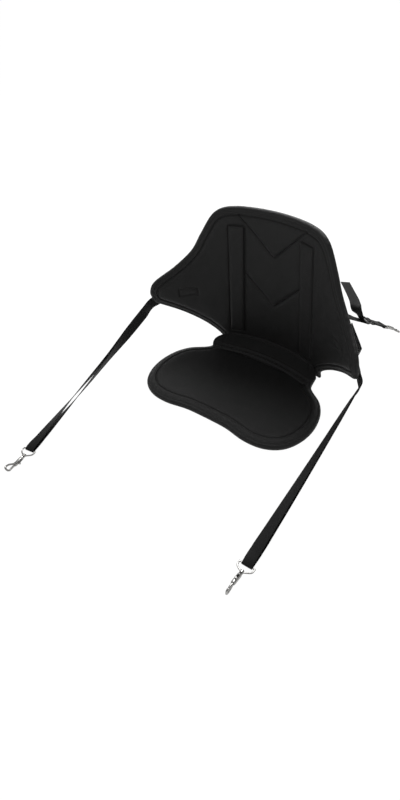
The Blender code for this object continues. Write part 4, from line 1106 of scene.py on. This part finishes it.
class KAYAKSEAT_OT_hinge_web(bpy.types.Operator):
    """Build the padded web between seat pad and back rest, with its piping"""

    bl_idname = "kayakseat.hinge_web"
    bl_label = "Hinge Web"

    def execute(self, context):
        columns, rows = WEB_COLUMNS, WEB_ROWS
        across = np.sin(np.linspace(-1, 1, columns) * math.pi / 2) * 0.5 + np.linspace(-1, 1, columns) * 0.5
        points, uvs = [], []
        for side in (0, 1):
            for t in np.linspace(-1, 1, rows):
                for s in across:
                    lift = GAP + web_swell(s, t) if side else GAP
                    points.append(web_surface(s, t, max(lift, GAP)))
                    uvs.append((s * WEB_HALF_LOW, t * WEB_UV_HEIGHT))
        size = columns * rows
        faces = []
        for j in range(rows - 1):
            for i in range(columns - 1):
                a = j * columns + i
                faces.append((a + columns, a + columns + 1, a + 1, a))
                faces.append((size + a, size + a + 1, size + a + columns + 1, size + a + columns))
        border = list(range(columns)) + [columns * (j + 1) - 1 for j in range(1, rows)]
        border += [size - 1 - i for i in range(1, columns)]
        border += [columns * (rows - 1 - j) for j in range(1, rows - 1)]
        for a, b in zip(border, border[1:] + border[:1]):
            faces.append((a, b, size + b, size + a))
        mesh = mesh_from("hinge_panel", points, faces, uvs)
        piece = add_piece("hinge_panel", mesh, "woven_polyester", SEAT)
        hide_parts("hinge_web")
        rows_of_thread = []
        spots = np.linspace(-WEB_SEWN_REACH, WEB_SEWN_REACH, WEB_SEWN_POINTS)
        for t in WEB_SEWN_AT:
            line, above = (np.array([web_surface(s, t, lift) for s in spots])
                           for lift in (GAP + WEB_THICKNESS * 0.62, GAP + WEB_THICKNESS))
            rows_of_thread.append((line, above - line))
        add_thread("hinge_stitches", rows_of_thread)
        return {"FINISHED"}


class KAYAKSEAT_OT_stays(bpy.types.Operator):
    """Build the sewn sleeve tapes over the stays"""

    bl_idname = "kayakseat.stays"
    bl_label = "Stay Sleeves"

    def execute(self, context):
        for side, hand in SIDES:
            rises = np.linspace(RIB_FOOT_RISE, RIB_HEAD_RISE, 24)
            middle = -GAP - SLEEVE_THICKNESS / 2
            stations = [(back_point(hand * rib_centre(r), r, middle), back_tangent(hand * rib_centre(r), r))
                        for r in rises]
            mesh, length = tape("sleeve_tape_" + side, stations, SLEEVE_WIDTH, SLEEVE_THICKNESS)
            piece = add_piece("sleeve_tape_" + side, mesh, "polypropylene_webbing", SEAT)
            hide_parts("stay_sleeve_" + side)
            rows = []
            for edge in (-1, 1):
                line = [(hand * rib_centre(r) + edge * (SLEEVE_WIDTH / 2 - 0.0025), r) for r in rises]
                line = resampled(line, 0.004)
                low = back_points(line[:, 0], line[:, 1], -GAP - SLEEVE_THICKNESS * 0.97)
                rows.append((low, back_points(line[:, 0], line[:, 1], -GAP - SLEEVE_THICKNESS - 0.001) - low))
            add_thread("sleeve_stitches_" + side, rows)
            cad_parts["stay_" + side].material_slots[0].material = finish("pultruded_glass_fibre")
        return {"FINISHED"}


# Straps

LOCK_FIXED_BAR = LOCK_LENGTH / 2 - LOCK_BAR / 2
LOCK_TEETH_BAR = LOCK_FIXED_BAR - 2 * (LOCK_BAR + LOCK_SLOT) + LOCK_BAR * 0.4
LOOP_RADIUS = LOCK_THICKNESS / 2 + GAP + WEBBING_THICKNESS / 2


def lock_weave():
    """Side view of the running strap through the lock, as (x, z), from the load side to the tail."""
    inner = LOCK_TEETH_BAR + LOCK_BAR / 2 + LOCK_SLOT / 2
    outer = LOCK_TEETH_BAR - LOCK_BAR / 2 - LOCK_SLOT / 2
    under = -LOCK_THICKNESS / 2 - GAP - WEBBING_THICKNESS / 2
    load = under - WEBBING_THICKNESS - 2 * GAP
    over = -under + GAP
    rise = WEBBING_THICKNESS
    return [(-LOCK_LENGTH, load - GAP), (-LOCK_LENGTH / 2, load), (outer, load), (LOCK_TEETH_BAR, load),
            (inner - 0.0003, load + 0.0009), (inner + 0.0005, load + 0.0026), (inner, 0.0),
            (inner - 0.0003, over - rise), (LOCK_TEETH_BAR + LOCK_BAR * 0.45, over),
            (LOCK_TEETH_BAR - LOCK_BAR * 0.45, over), (outer + 0.0003, over - rise), (outer, 0.0),
            (outer - 0.0005, under + 0.0010), (outer - 0.0024, under),
            (-LOCK_LENGTH / 2, under - GAP / 2)]


def snap_frame(snap):
    """Placement of a snap's eye: X along the snap, Y along the eye's bar."""
    bar, heading, climb, _ = snap
    along = Vector((math.cos(heading) * math.cos(climb), math.sin(heading) * math.cos(climb), math.sin(climb)))
    across = Vector((-math.sin(heading), math.cos(heading), 0.0))
    turn = Matrix((along, across, along.cross(across))).transposed().to_4x4()
    return Matrix.Translation(bar) @ turn


def mirrored_snap(snap):
    """The same snap on the other side of the seat."""
    (x, y, z), heading, climb, swivel = snap
    return (-x, y, z), math.pi - heading, climb, -swivel


SNAP_AT = {"front_left": FRONT_LEFT_SNAP, "front_right": FRONT_RIGHT_SNAP,
           "rear_left": mirrored_snap(REAR_SNAP), "rear_right": REAR_SNAP}


def loop_round(centre, out, along, radius, steps=6):
    """Half circle round a bar, from one side of it to the other."""
    turns = [math.pi * i / steps for i in range(steps + 1)]
    return [centre + out * (radius * math.cos(a)) + along * (radius * math.sin(a)) for a in turns]


def in_frame(place, side_view, across):
    """Stations of a strap given in side view, as (x, z), in a placed frame."""
    return [(place @ Vector((x, 0.0, z)), across) for x, z in side_view]


def wing_stations(hand, points, out):
    """Stations of a strap on the rear of a wing, from (across, rise) points."""
    return [(back_point(hand * u, v, out), back_rising(hand * u, v)) for u, v in points]


def front_strap(hand, snap):
    """Stations of a doubled front strap and of the anchor of its lock."""
    placed = snap_frame(snap)
    bar = placed.translation
    ahead = placed.col[0].to_3d()
    bar_across = placed.col[1].to_3d()
    if bar_across.x < 0:
        bar_across = -bar_across
    thick = WEBBING_THICKNESS
    layer = thick + GAP
    flat = -GAP - WING_EASE - thick / 2
    on_wing = [(SEWN_INNER, SEWN_RISE), (SEWN_OUTER, SEWN_RISE), (WING_EXIT, WING_EXIT_RISE)]
    first = wing_stations(hand, smooth(on_wing, 4), flat)
    slant = (SEWN_RISE - WING_EXIT_RISE) / (WING_EXIT - SEWN_OUTER)
    lock_rise = SEWN_RISE - (LOCK_ON_WING - SEWN_OUTER) * slant
    lift = LOCK_THICKNESS / 2 + GAP + thick + 2 * GAP + thick + layer + LOCK_STANDOFF
    middle = back_point(hand * LOCK_ON_WING, lock_rise, -lift)
    rising = back_rising(hand * LOCK_ON_WING, lock_rise)
    inward = (slant * rising - hand * back_tangent(hand * LOCK_ON_WING, lock_rise)).normalized()
    away = hand * inward.cross(rising).normalized()
    side = away.cross(inward)
    lock = Matrix.Translation(middle) @ Matrix((inward, side, away)).transposed().to_4x4()
    side = side if side.dot(rising) > 0 else -side
    reach = WING_EXIT + LEGS_START
    start = back_point(hand * reach, SEWN_RISE - (reach - SEWN_OUTER) * slant, flat - LEG_CLOSE)
    near = back_point(hand * WING_EXIT, WING_EXIT_RISE, 1.0) - back_point(hand * WING_EXIT, WING_EXIT_RISE)
    leg_near, leg_far = [], []
    for i in range(LEG_STEPS):
        share = i / LEG_STEPS
        point = start.lerp(bar, share) - Vector((0, 0, FRONT_SAG * math.sin(math.pi * share)))
        along = (bar - start).normalized()
        twist = math.radians(float(np.interp(share, *zip(*STRAP_TWIST[hand]))))
        across = rising * math.cos(twist) + bar_across * math.sin(twist)
        out = along.cross(across).normalized()
        if i == 0:
            sign = 1.0 if out.dot(near) > 0 else -1.0
        spread = float(np.interp(share, *zip(*LEG_SPREAD[hand])))
        leg_near.append((point + out * (sign * spread), across))
        leg_far.append((point - out * (sign * spread), across))
    final_out = (bar - start).cross(bar_across).normalized() * sign
    onward = bar_across.cross(final_out) * (1.0 if ahead.dot(bar_across.cross(final_out)) > 0 else -1.0)
    radius = EYE_WIRE + GAP + thick / 2
    fold = [(p, bar_across) for p in loop_round(bar, final_out, onward, radius)]
    run_in = wing_stations(hand, [(WING_EXIT, WING_EXIT_RISE)], flat - 2 * LEG_CLOSE - GAP)
    run_in += in_frame(lock, [(-LOCK_LENGTH * 0.78, lock_weave()[1][1] - 0.0004)], side)
    weave = in_frame(lock, lock_weave()[1:], side)
    end, drop = lock_weave()[-1]
    tail = [(end - 0.004, drop + 0.0001), (end - 0.009, drop + 0.0016), (end - 0.0125, drop + 0.0060),
            (end - 0.0110, drop + 0.0115), (end - 0.004, drop + 0.0150),
            (end - 0.004 + FRONT_TAIL, drop + 0.0185)]
    tail = in_frame(lock, smooth(tail, 3), side)
    stations = first + leg_near + fold + leg_far[::-1] + run_in + weave + tail
    held = [(u, SEWN_RISE - (u - SEWN_OUTER) * slant) for u in ANCHOR_SEWN]
    lower = wing_stations(hand, held, flat)
    upper = wing_stations(hand, held[::-1], flat - layer - GAP)
    fixed_bar = Vector((LOCK_FIXED_BAR, 0, 0))
    turn = loop_round(fixed_bar, Vector((0, 0, -1)), Vector((-1, 0, 0)), LOOP_RADIUS + GAP)
    anchor = lower + [(lock @ p, side) for p in turn] + upper
    return stations, anchor


def rear_strap(hand, snap):
    """Stations of a rear strap with its tail, and of the short strap that carries the snap."""
    placed = snap_frame(snap)
    bar = placed.translation
    ahead, across, up = (placed.col[i].to_3d() for i in range(3))
    middle = bar - ahead * (LINK_LENGTH + LOCK_FIXED_BAR)
    lock = Matrix.Translation(middle) @ placed.to_3x3().to_4x4()
    wire = EYE_WIRE + GAP + WEBBING_THICKNESS / 2
    near = LOCK_FIXED_BAR * ahead + middle
    link = loop_round(bar, up, ahead, wire) + loop_round(near, -up, -ahead, LOOP_RADIUS)
    pinch = WEBBING_THICKNESS / 2 + GAP
    pinched = [[near.lerp(bar, share) + up * (sign * pinch) for share in (0.74, 0.5, 0.28)]
               for sign in (-1, 1)]
    ring = [(p, across) for p in link[:7] + pinched[0] + link[7:] + pinched[1][::-1]]
    flat = -2 * GAP - SLEEVE_THICKNESS - WEBBING_THICKNESS / 2
    out_u = rib_centre((REAR_SEWN_TOP + REAR_SEWN_FOOT) / 2)
    wide = back_tangent(hand * out_u, REAR_SEWN_FOOT)
    wide = wide if across.dot(wide) > 0 else -wide
    sewn = [(back_point(hand * out_u, v, flat), wide) for v in np.linspace(REAR_SEWN_TOP, REAR_SEWN_FOOT, 3)]
    weave = lock_weave()
    entry = lock @ Vector((weave[0][0], 0.0, weave[0][1]))
    leave = back_point(hand * out_u, REAR_SEWN_FOOT - REAR_BEND * 0.55, flat - REAR_BEND * 0.22)
    leave_2 = back_point(hand * out_u, REAR_SEWN_FOOT - REAR_BEND * 1.05, flat - REAR_BEND * 0.75)
    between = [leave_2.lerp(entry, share) for share in (0.25, 0.5, 0.75)]
    line = smooth([sewn[-1][0], leave, leave_2, *between, entry], 2)[1:-1]
    free = []
    for i, p in enumerate(line):
        share = (i + 1) / (len(line) + 1)
        level = wide.lerp(across, share).normalized()
        face = (entry - leave).normalized().cross(level)
        roll = math.radians(REAR_ROLL) * math.sin(math.pi * share) * hand
        free.append((Vector(p), level * math.cos(roll) + face * math.sin(roll)))
    woven = in_frame(lock, weave, across)
    tail_line = [woven[-1][0]] + [Vector((hand * x, y, z)) for x, y, z in REAR_TAIL]
    tail_across = Vector((hand * REAR_TAIL_ACROSS[0], *REAR_TAIL_ACROSS[1:])).normalized()
    if tail_across.dot(across) < 0:
        tail_across = -tail_across
    points = smooth(tail_line, 3)[1:]
    tail = [(Vector(p), across.lerp(tail_across, (i + 1) / len(points))) for i, p in enumerate(points)]
    return sewn + free + woven + tail, ring


def add_tape(name, stations, node, closed=False, eye=None):
    """A piece of webbing in place of its solid."""
    mesh, length = tape(name, stations, closed=closed, eye=eye)
    piece = add_piece(name, mesh, "polypropylene_webbing", SEAT)
    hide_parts(node)


def sewn_stitches(name, hand, box, out):
    """Thread of a stitched box with a cross in it, behind the back rest."""
    (low_u, low_v), (high_u, high_v) = box
    corners = [(low_u, low_v), (high_u, low_v), (high_u, high_v), (low_u, high_v)]
    paths = [[a, b] for a, b in zip(corners, corners[1:] + corners[:1])]
    paths += [[corners[0], corners[2]], [corners[1], corners[3]]]
    rows = []
    for path in paths:
        line = resampled(path, 0.003)
        low = back_points(hand * line[:, 0], line[:, 1], out)
        rows.append((low, back_points(hand * line[:, 0], line[:, 1], out - 0.001) - low))
    add_thread(name, rows, 0.75)


class KAYAKSEAT_OT_front_straps(bpy.types.Operator):
    """Build the doubled front straps and their sewn anchors"""

    bl_idname = "kayakseat.front_straps"
    bl_label = "Front Straps"

    def execute(self, context):
        for side, hand in SIDES:
            stations, anchor = front_strap(hand, SNAP_AT["front_" + side])
            add_tape("front_webbing_" + side, stations, "front_strap_" + side,
                     eye=SNAP_AT["front_" + side][0])
            add_tape("anchor_webbing_" + side, anchor, "front_anchor_" + side)
            layers = -3 * GAP - 2 * WEBBING_THICKNESS - WING_EASE
            box = ((ANCHOR_SEWN[0] + 0.003, ANCHOR_RISE - 0.006), (ANCHOR_SEWN[1] - 0.003, ANCHOR_RISE + 0.006))
            sewn_stitches("anchor_stitches_" + side, hand, box, layers)
        return {"FINISHED"}


class KAYAKSEAT_OT_rear_straps(bpy.types.Operator):
    """Build the rear straps and the short straps that carry their snaps"""

    bl_idname = "kayakseat.rear_straps"
    bl_label = "Rear Straps"

    def execute(self, context):
        for side, hand in SIDES:
            stations, ring = rear_strap(hand, SNAP_AT["rear_" + side])
            add_tape("rear_webbing_" + side, stations, "rear_strap_" + side)
            add_tape("link_webbing_" + side, ring, "rear_link_" + side,
                     closed=True)
            centre = rib_centre((REAR_SEWN_TOP + REAR_SEWN_FOOT) / 2)
            half = WEBBING / 2 - 0.003
            box = ((centre - half, REAR_SEWN_FOOT + 0.004), (centre + half, REAR_SEWN_TOP - 0.004))
            sewn_stitches("rear_stitches_" + side, hand, box,
                          -2 * GAP - SLEEVE_THICKNESS - WEBBING_THICKNESS * 0.97)
        return {"FINISHED"}


class KAYAKSEAT_OT_locks(bpy.types.Operator):
    """Give the ladder locks their moulded finish"""

    bl_idname = "kayakseat.locks"
    bl_label = "Ladder Locks"

    def execute(self, context):
        for side, _ in SIDES:
            for end in ("front_lock_", "rear_lock_"):
                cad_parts[end + side].material_slots[0].material = finish("moulded_acetal")
        return {"FINISHED"}


# Bolt snaps

BOSS_START = EYE_LENGTH - 0.0018
BOSS_END = BOSS_START + BOSS_LENGTH
BARREL_START = BOSS_END + SWIVEL_CLEARANCE
BARREL_END = BARREL_START + BARREL_LENGTH
NOSE = BARREL_END + GATE
BORE_START = BARREL_START + BORE_FLOOR
KNOB_AT = BARREL_END - KNOB_FROM_MOUTH
BOLT_BACK = BORE_START + 2 * GAP + BOLT_TRAVEL + 0.0028
BOLT_FRONT = NOSE - GAP
EYE_HALF = EYE_WIDTH / 2 + EYE_WIRE
ROUND = 40
SHARP_ANGLE = math.radians(38)


def turned(profile, closed=False):
    """A solid turned about X from (x, radius) points, as a bmesh."""
    bm = bmesh.new()
    verts = [bm.verts.new((x, r, 0.0)) for x, r in profile]
    ends = list(zip(verts, verts[1:] + (verts[:1] if closed else [])))
    edges = [bm.edges.new(pair) for pair in (ends if closed else ends[:len(verts) - 1])]
    bmesh.ops.spin(bm, geom=verts + edges, cent=(0, 0, 0), axis=(1, 0, 0), angle=2 * math.pi, steps=ROUND,
                   use_merge=True)
    bmesh.ops.remove_doubles(bm, verts=bm.verts, dist=1e-6)
    bmesh.ops.recalc_face_normals(bm, faces=bm.faces)
    return bm


def evaluated_mesh(obj):
    """The mesh of a curve, or of an object with its modifiers applied."""
    bpy.context.view_layer.update()
    return bpy.data.meshes.new_from_object(obj.evaluated_get(bpy.context.evaluated_depsgraph_get()))


def wire(points, radius, closed=False, taper=()):
    """A round wire along points, as a mesh."""
    curve = bpy.data.curves.new("wire", "CURVE")
    curve.dimensions = "3D"
    curve.bevel_depth = radius
    curve.bevel_resolution = 5
    curve.use_fill_caps = not closed
    line = curve.splines.new("POLY")
    line.points.add(len(points) - 1)
    for point, co in zip(line.points, points):
        point.co = (*co, 1.0)
    for point, share in zip(reversed(line.points), taper):
        point.radius = share
    line.use_cyclic_u = closed
    guide = placed_object("wire", curve)
    mesh = evaluated_mesh(guide)
    bpy.data.objects.remove(guide)
    return mesh


def joined(name, parts, cuts=()):
    """One mesh from several, with boxes or rods cut out of it."""
    bm = bmesh.new()
    for part in parts:
        bm.from_mesh(part if isinstance(part, bpy.types.Mesh) else mesh_of("part", part))
    bmesh.ops.remove_doubles(bm, verts=bm.verts, dist=1e-6)
    mesh = mesh_of(name, bm)
    if not cuts:
        return mesh
    body = placed_object(name, mesh)
    tools = [placed_object("cut", mesh_of("cut", cut)) for cut in cuts]
    for tool in tools:
        step = body.modifiers.new("cut", "BOOLEAN")
        step.object = tool
        step.solver = "EXACT"
    done = evaluated_mesh(body)
    for obj in (body, *tools):
        bpy.data.objects.remove(obj)
    done.name = name
    return done


def eye_mesh():
    """The swivel eye: a wire bow and its bored boss."""
    corner = EYE_WIRE * 1.4
    right = [(0.0, EYE_HALF - corner), (corner * 0.35, EYE_HALF - corner * 0.35), (corner, EYE_HALF),
             (EYE_STRAIGHT, EYE_HALF - 0.0004), (EYE_STRAIGHT + 0.0035, EYE_HALF - 0.0030),
             (EYE_LENGTH - 0.0014, BOSS_RADIUS + 0.0022), (EYE_LENGTH + 0.0008, BOSS_RADIUS * 0.5)]
    loop = [(x, y, 0.0) for x, y in right] + [(x, -y, 0.0) for x, y in reversed(right)]
    across = smooth([loop[-1]] + loop + [loop[0]], 6)[6:-6]
    bow = wire(across[:-1], EYE_WIRE, closed=True)
    inner = STEM_RADIUS + SWIVEL_CLEARANCE
    edge = 0.0004
    boss = turned([(BOSS_START, inner), (BOSS_START, BOSS_RADIUS - edge), (BOSS_START + edge, BOSS_RADIUS),
                   (BOSS_END - edge, BOSS_RADIUS), (BOSS_END, BOSS_RADIUS - edge), (BOSS_END, inner)], True)
    return joined("snap_eye", [bow, boss])


def hook_mesh():
    """The hook: rivet, stem, bored and slotted barrel, and the bow of the hook."""
    head = BOSS_START - SWIVEL_CLEARANCE
    profile = [(head - RIVET_THICKNESS, 0.0), (head - RIVET_THICKNESS * 0.95, RIVET_RADIUS * 0.55),
               (head - RIVET_THICKNESS * 0.7, RIVET_RADIUS * 0.88),
               (head - RIVET_THICKNESS * 0.3, RIVET_RADIUS),
               (head, RIVET_RADIUS), (head, STEM_RADIUS), (BARREL_START, STEM_RADIUS),
               (BARREL_START, BARREL_NECK - 0.0003), (BARREL_START + 0.0003, BARREL_NECK),
               (BARREL_START + 0.0015, BARREL_NECK * 1.16), (BARREL_START + 0.0035, BARREL_RADIUS * 0.93),
               (BARREL_START + 0.0048, BARREL_RADIUS * 0.97), (BARREL_START + 0.0052, BARREL_RADIUS * 0.90),
               (BARREL_START + 0.0060, BARREL_RADIUS * 0.90), (BARREL_START + 0.0064, BARREL_RADIUS * 0.98),
               (BARREL_START + 0.0072, BARREL_RADIUS), (BARREL_END - 0.0026, BARREL_RADIUS),
               (BARREL_END - 0.0012, BARREL_RADIUS * 0.96), (BARREL_END - 0.0003, BARREL_RADIUS * 0.84),
               (BARREL_END, BARREL_RADIUS * 0.78), (BARREL_END, BORE_RADIUS), (BORE_START, BORE_RADIUS),
               (BORE_START, 0.0)]
    barrel = turned(profile)
    wide = KNOB_PIN + GAP
    slot = bmesh.new()
    bmesh.ops.create_cube(slot, size=1.0)
    low, high = (KNOB_AT - BOLT_TRAVEL - wide, 0.0, -wide), (KNOB_AT + wide, BARREL_RADIUS * 1.5, wide)
    for vert in slot.verts:
        for axis in range(3):
            vert.co[axis] = low[axis] + (vert.co[axis] + 0.5) * (high[axis] - low[axis])
    body = joined("snap_body", [barrel], [slot])
    far = NOSE + HOOK_NOSE - HOOK_WIRE
    bow = [(BARREL_END - 0.0058, -BARREL_RADIUS * 0.80), (BARREL_END - 0.0015, -BARREL_RADIUS * 1.15),
           (BARREL_END + 0.0030, -HOOK_DEPTH * 0.80), (BARREL_END + 0.0085, -HOOK_DEPTH),
           (NOSE + 0.0020, -HOOK_DEPTH * 0.93), (far - 0.0008, -HOOK_DEPTH * 0.58),
           (far, -HOOK_DEPTH * 0.22), (far - 0.0018, 0.0002), (NOSE + 0.0018, 0.0004), (NOSE, 0.0002)]
    line = [(x, y, 0.0) for x, y in smooth(bow, 8)]
    return joined("snap_body", [body, wire(line, HOOK_WIRE, taper=(0.72, 0.86, 0.94, 0.98))])


def bolt_mesh():
    """The sliding bolt with its thumb knob."""
    profile = [(BOLT_BACK, 0.0), (BOLT_BACK, BOLT_RADIUS - 0.0003), (BOLT_BACK + 0.0003, BOLT_RADIUS),
               (BOLT_FRONT - 0.0012, BOLT_RADIUS), (BOLT_FRONT - 0.0004, BOLT_RADIUS * 0.82),
               (BOLT_FRONT, BOLT_RADIUS * 0.55), (BOLT_FRONT, 0.0)]
    knob = turned([(0.0, 0.0), (0.0, KNOB_PIN), (KNOB_HEIGHT - KNOB_THICKNESS, KNOB_PIN),
                   (KNOB_HEIGHT - KNOB_THICKNESS, KNOB_RADIUS - 0.0004),
                   (KNOB_HEIGHT - KNOB_THICKNESS + 0.0004, KNOB_RADIUS), (KNOB_HEIGHT - 0.0006, KNOB_RADIUS),
                   (KNOB_HEIGHT - 0.0001, KNOB_RADIUS * 0.7), (KNOB_HEIGHT, 0.0)])
    turn = Matrix.Translation((KNOB_AT, 0, 0)) @ Matrix.Rotation(math.pi / 2, 4, "Z")
    bmesh.ops.transform(knob, matrix=turn, verts=knob.verts)
    return joined("snap_plunger", [turned(profile), knob])


def spring_mesh():
    """The coil spring behind the bolt."""
    start, end = BORE_START + GAP + SPRING_WIRE, BOLT_BACK - GAP - SPRING_WIRE
    line = []
    steps = SPRING_TURNS * 20
    for i in range(steps + 1):
        share = i / steps
        turn = share * SPRING_TURNS * 2 * math.pi
        line.append((start + (end - start) * share, SPRING_RADIUS * math.cos(turn),
                     SPRING_RADIUS * math.sin(turn)))
    return joined("snap_coil", [wire(line, SPRING_WIRE)])


class KAYAKSEAT_OT_snaps(bpy.types.Operator):
    """Build the swivel bolt snaps"""

    bl_idname = "kayakseat.snaps"
    bl_label = "Bolt Snaps"

    def execute(self, context):
        kinds = (("eye", "snap_eye_", "swivel_eye_", eye_mesh()),
                 ("hook", "snap_body_", "snap_hook_", hook_mesh()),
                 ("bolt", "snap_plunger_", "snap_bolt_", bolt_mesh()),
                 ("spring", "snap_coil_", "bolt_spring_", spring_mesh()))
        for snap in SNAPS:
            placed = snap_frame(SNAP_AT[snap])
            swivelled = placed @ Matrix.Rotation(SNAP_AT[snap][3], 4, "X")
            for kind, name, node, mesh in kinds:
                coil = kind == "spring"
                metal, slot = ("spring_wire", "spring_steel") if coil else ("nickel_plated_zinc", "nickel")
                own = mesh.copy() if coil else mesh
                own.set_sharp_from_angle(angle=SHARP_ANGLE)
                obj = add_piece(name + snap, own, metal, ("hook_" if coil else kind + "_") + snap,
                                placed if kind == "eye" else swivelled)
                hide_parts(node + snap)
                if coil:
                    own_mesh(obj)
        return {"FINISHED"}


class KAYAKSEAT_OT_stage(bpy.types.Operator):
    """Set up the floor, lamps, sky and camera"""

    bl_idname = "kayakseat.stage"
    bl_label = "Stage"

    def execute(self, context):
        scene = context.scene
        light = scene.kayak_seat_stage
        scene.view_settings.view_transform = "Standard"
        bm = bmesh.new()
        bmesh.ops.create_grid(bm, x_segments=8, y_segments=8, size=40.0)
        mesh = mesh_of("floor", bm)
        mesh.materials.append(finish("paper_sweep"))
        floor = placed_object("floor", mesh)
        floor.location.z = CAD_BOX[0][2] - FLOOR_DROP

        world = bpy.data.worlds.new("studio")
        world.use_nodes = True
        tree = world.node_tree
        sky = tree.nodes["Background"]
        sky.inputs["Color"].default_value = (1.0, 1.0, 1.0, 1.0)
        path = add_node(tree, "ShaderNodeLightPath")
        seen = calc(tree, "MAXIMUM", path.outputs["Is Camera Ray"], path.outputs["Is Transmission Ray"])
        strength = add_node(tree, "ShaderNodeMapRange", {"To Min": light.sky, "To Max": 1.0}, {"Value": seen})
        tree.links.new(strength.outputs["Result"], sky.inputs["Strength"])
        scene.world = world

        for name, size, at in LAMPS:
            lamp = bpy.data.lights.new(name, "AREA")
            lamp.energy = getattr(light, name)
            lamp.shape = "DISK"
            lamp.size = size
            holder = placed_object(name, lamp)
            holder.location = at
            aim = Vector(LAMPS_LOOK_AT) - Vector(at)
            holder.rotation_euler = aim.to_track_quat("-Z", "Y").to_euler()

        lens = bpy.data.cameras.new("camera")
        lens.lens = CAMERA_LENS
        lens.clip_start = 0.01
        camera = placed_object("camera", lens)
        ahead = (Vector(CAMERA_LOOKS_AT) - Vector(CAMERA_AT)).normalized()
        right = ahead.cross(Vector((0, 0, 1))).normalized()
        up = right.cross(ahead)
        level, tilt = math.cos(CAMERA_ROLL), math.sin(CAMERA_ROLL)
        right, up = right * level + up * tilt, up * level - right * tilt
        turn = Matrix((right, up, -ahead)).transposed().to_4x4()
        camera.matrix_world = Matrix.Translation(CAMERA_AT) @ turn
        scene.camera = camera
        return {"FINISHED"}


BUILD_ORDER = (KAYAKSEAT_OT_stage, KAYAKSEAT_OT_seat_pad, KAYAKSEAT_OT_back_rest, KAYAKSEAT_OT_hinge_web,
               KAYAKSEAT_OT_stays, KAYAKSEAT_OT_front_straps, KAYAKSEAT_OT_rear_straps, KAYAKSEAT_OT_locks,
               KAYAKSEAT_OT_snaps)
SETTINGS = (("kayak_seat_pads", KayakSeatPads), ("kayak_seat_straps", KayakSeatStraps),
            ("kayak_seat_finish", KayakSeatFinish), ("kayak_seat_stage", KayakSeatStage))


class KAYAKSEAT_PT_panel(bpy.types.Panel):
    """Builders and settings of the kayak seat"""

    bl_idname = "KAYAKSEAT_PT_panel"
    bl_label = "Kayak Seat"
    bl_space_type = "VIEW_3D"
    bl_region_type = "UI"
    bl_category = "Kayak Seat"

    def draw(self, context):
        for operator in BUILD_ORDER:
            self.layout.operator(operator.bl_idname)
        for name, group in SETTINGS:
            for key in group.__annotations__:
                self.layout.prop(getattr(context.scene, name), key)


def register():
    """Registers the settings, operators and panel."""
    for name, group in SETTINGS:
        bpy.utils.register_class(group)
        setattr(bpy.types.Scene, name, bpy.props.PointerProperty(type=group))
    for operator in BUILD_ORDER:
        bpy.utils.register_class(operator)
    bpy.utils.register_class(KAYAKSEAT_PT_panel)


def unregister():
    """Takes them away again."""
    bpy.utils.unregister_class(KAYAKSEAT_PT_panel)
    for operator in reversed(BUILD_ORDER):
        bpy.utils.unregister_class(operator)
    for name, group in reversed(SETTINGS):
        delattr(bpy.types.Scene, name)
        bpy.utils.unregister_class(group)


def main():
    """Builds everything in order."""
    register()
    for operator in BUILD_ORDER:
        group, name = operator.bl_idname.split(".")
        getattr(getattr(bpy.ops, group), name)()


if __name__ == "__main__":
    main()
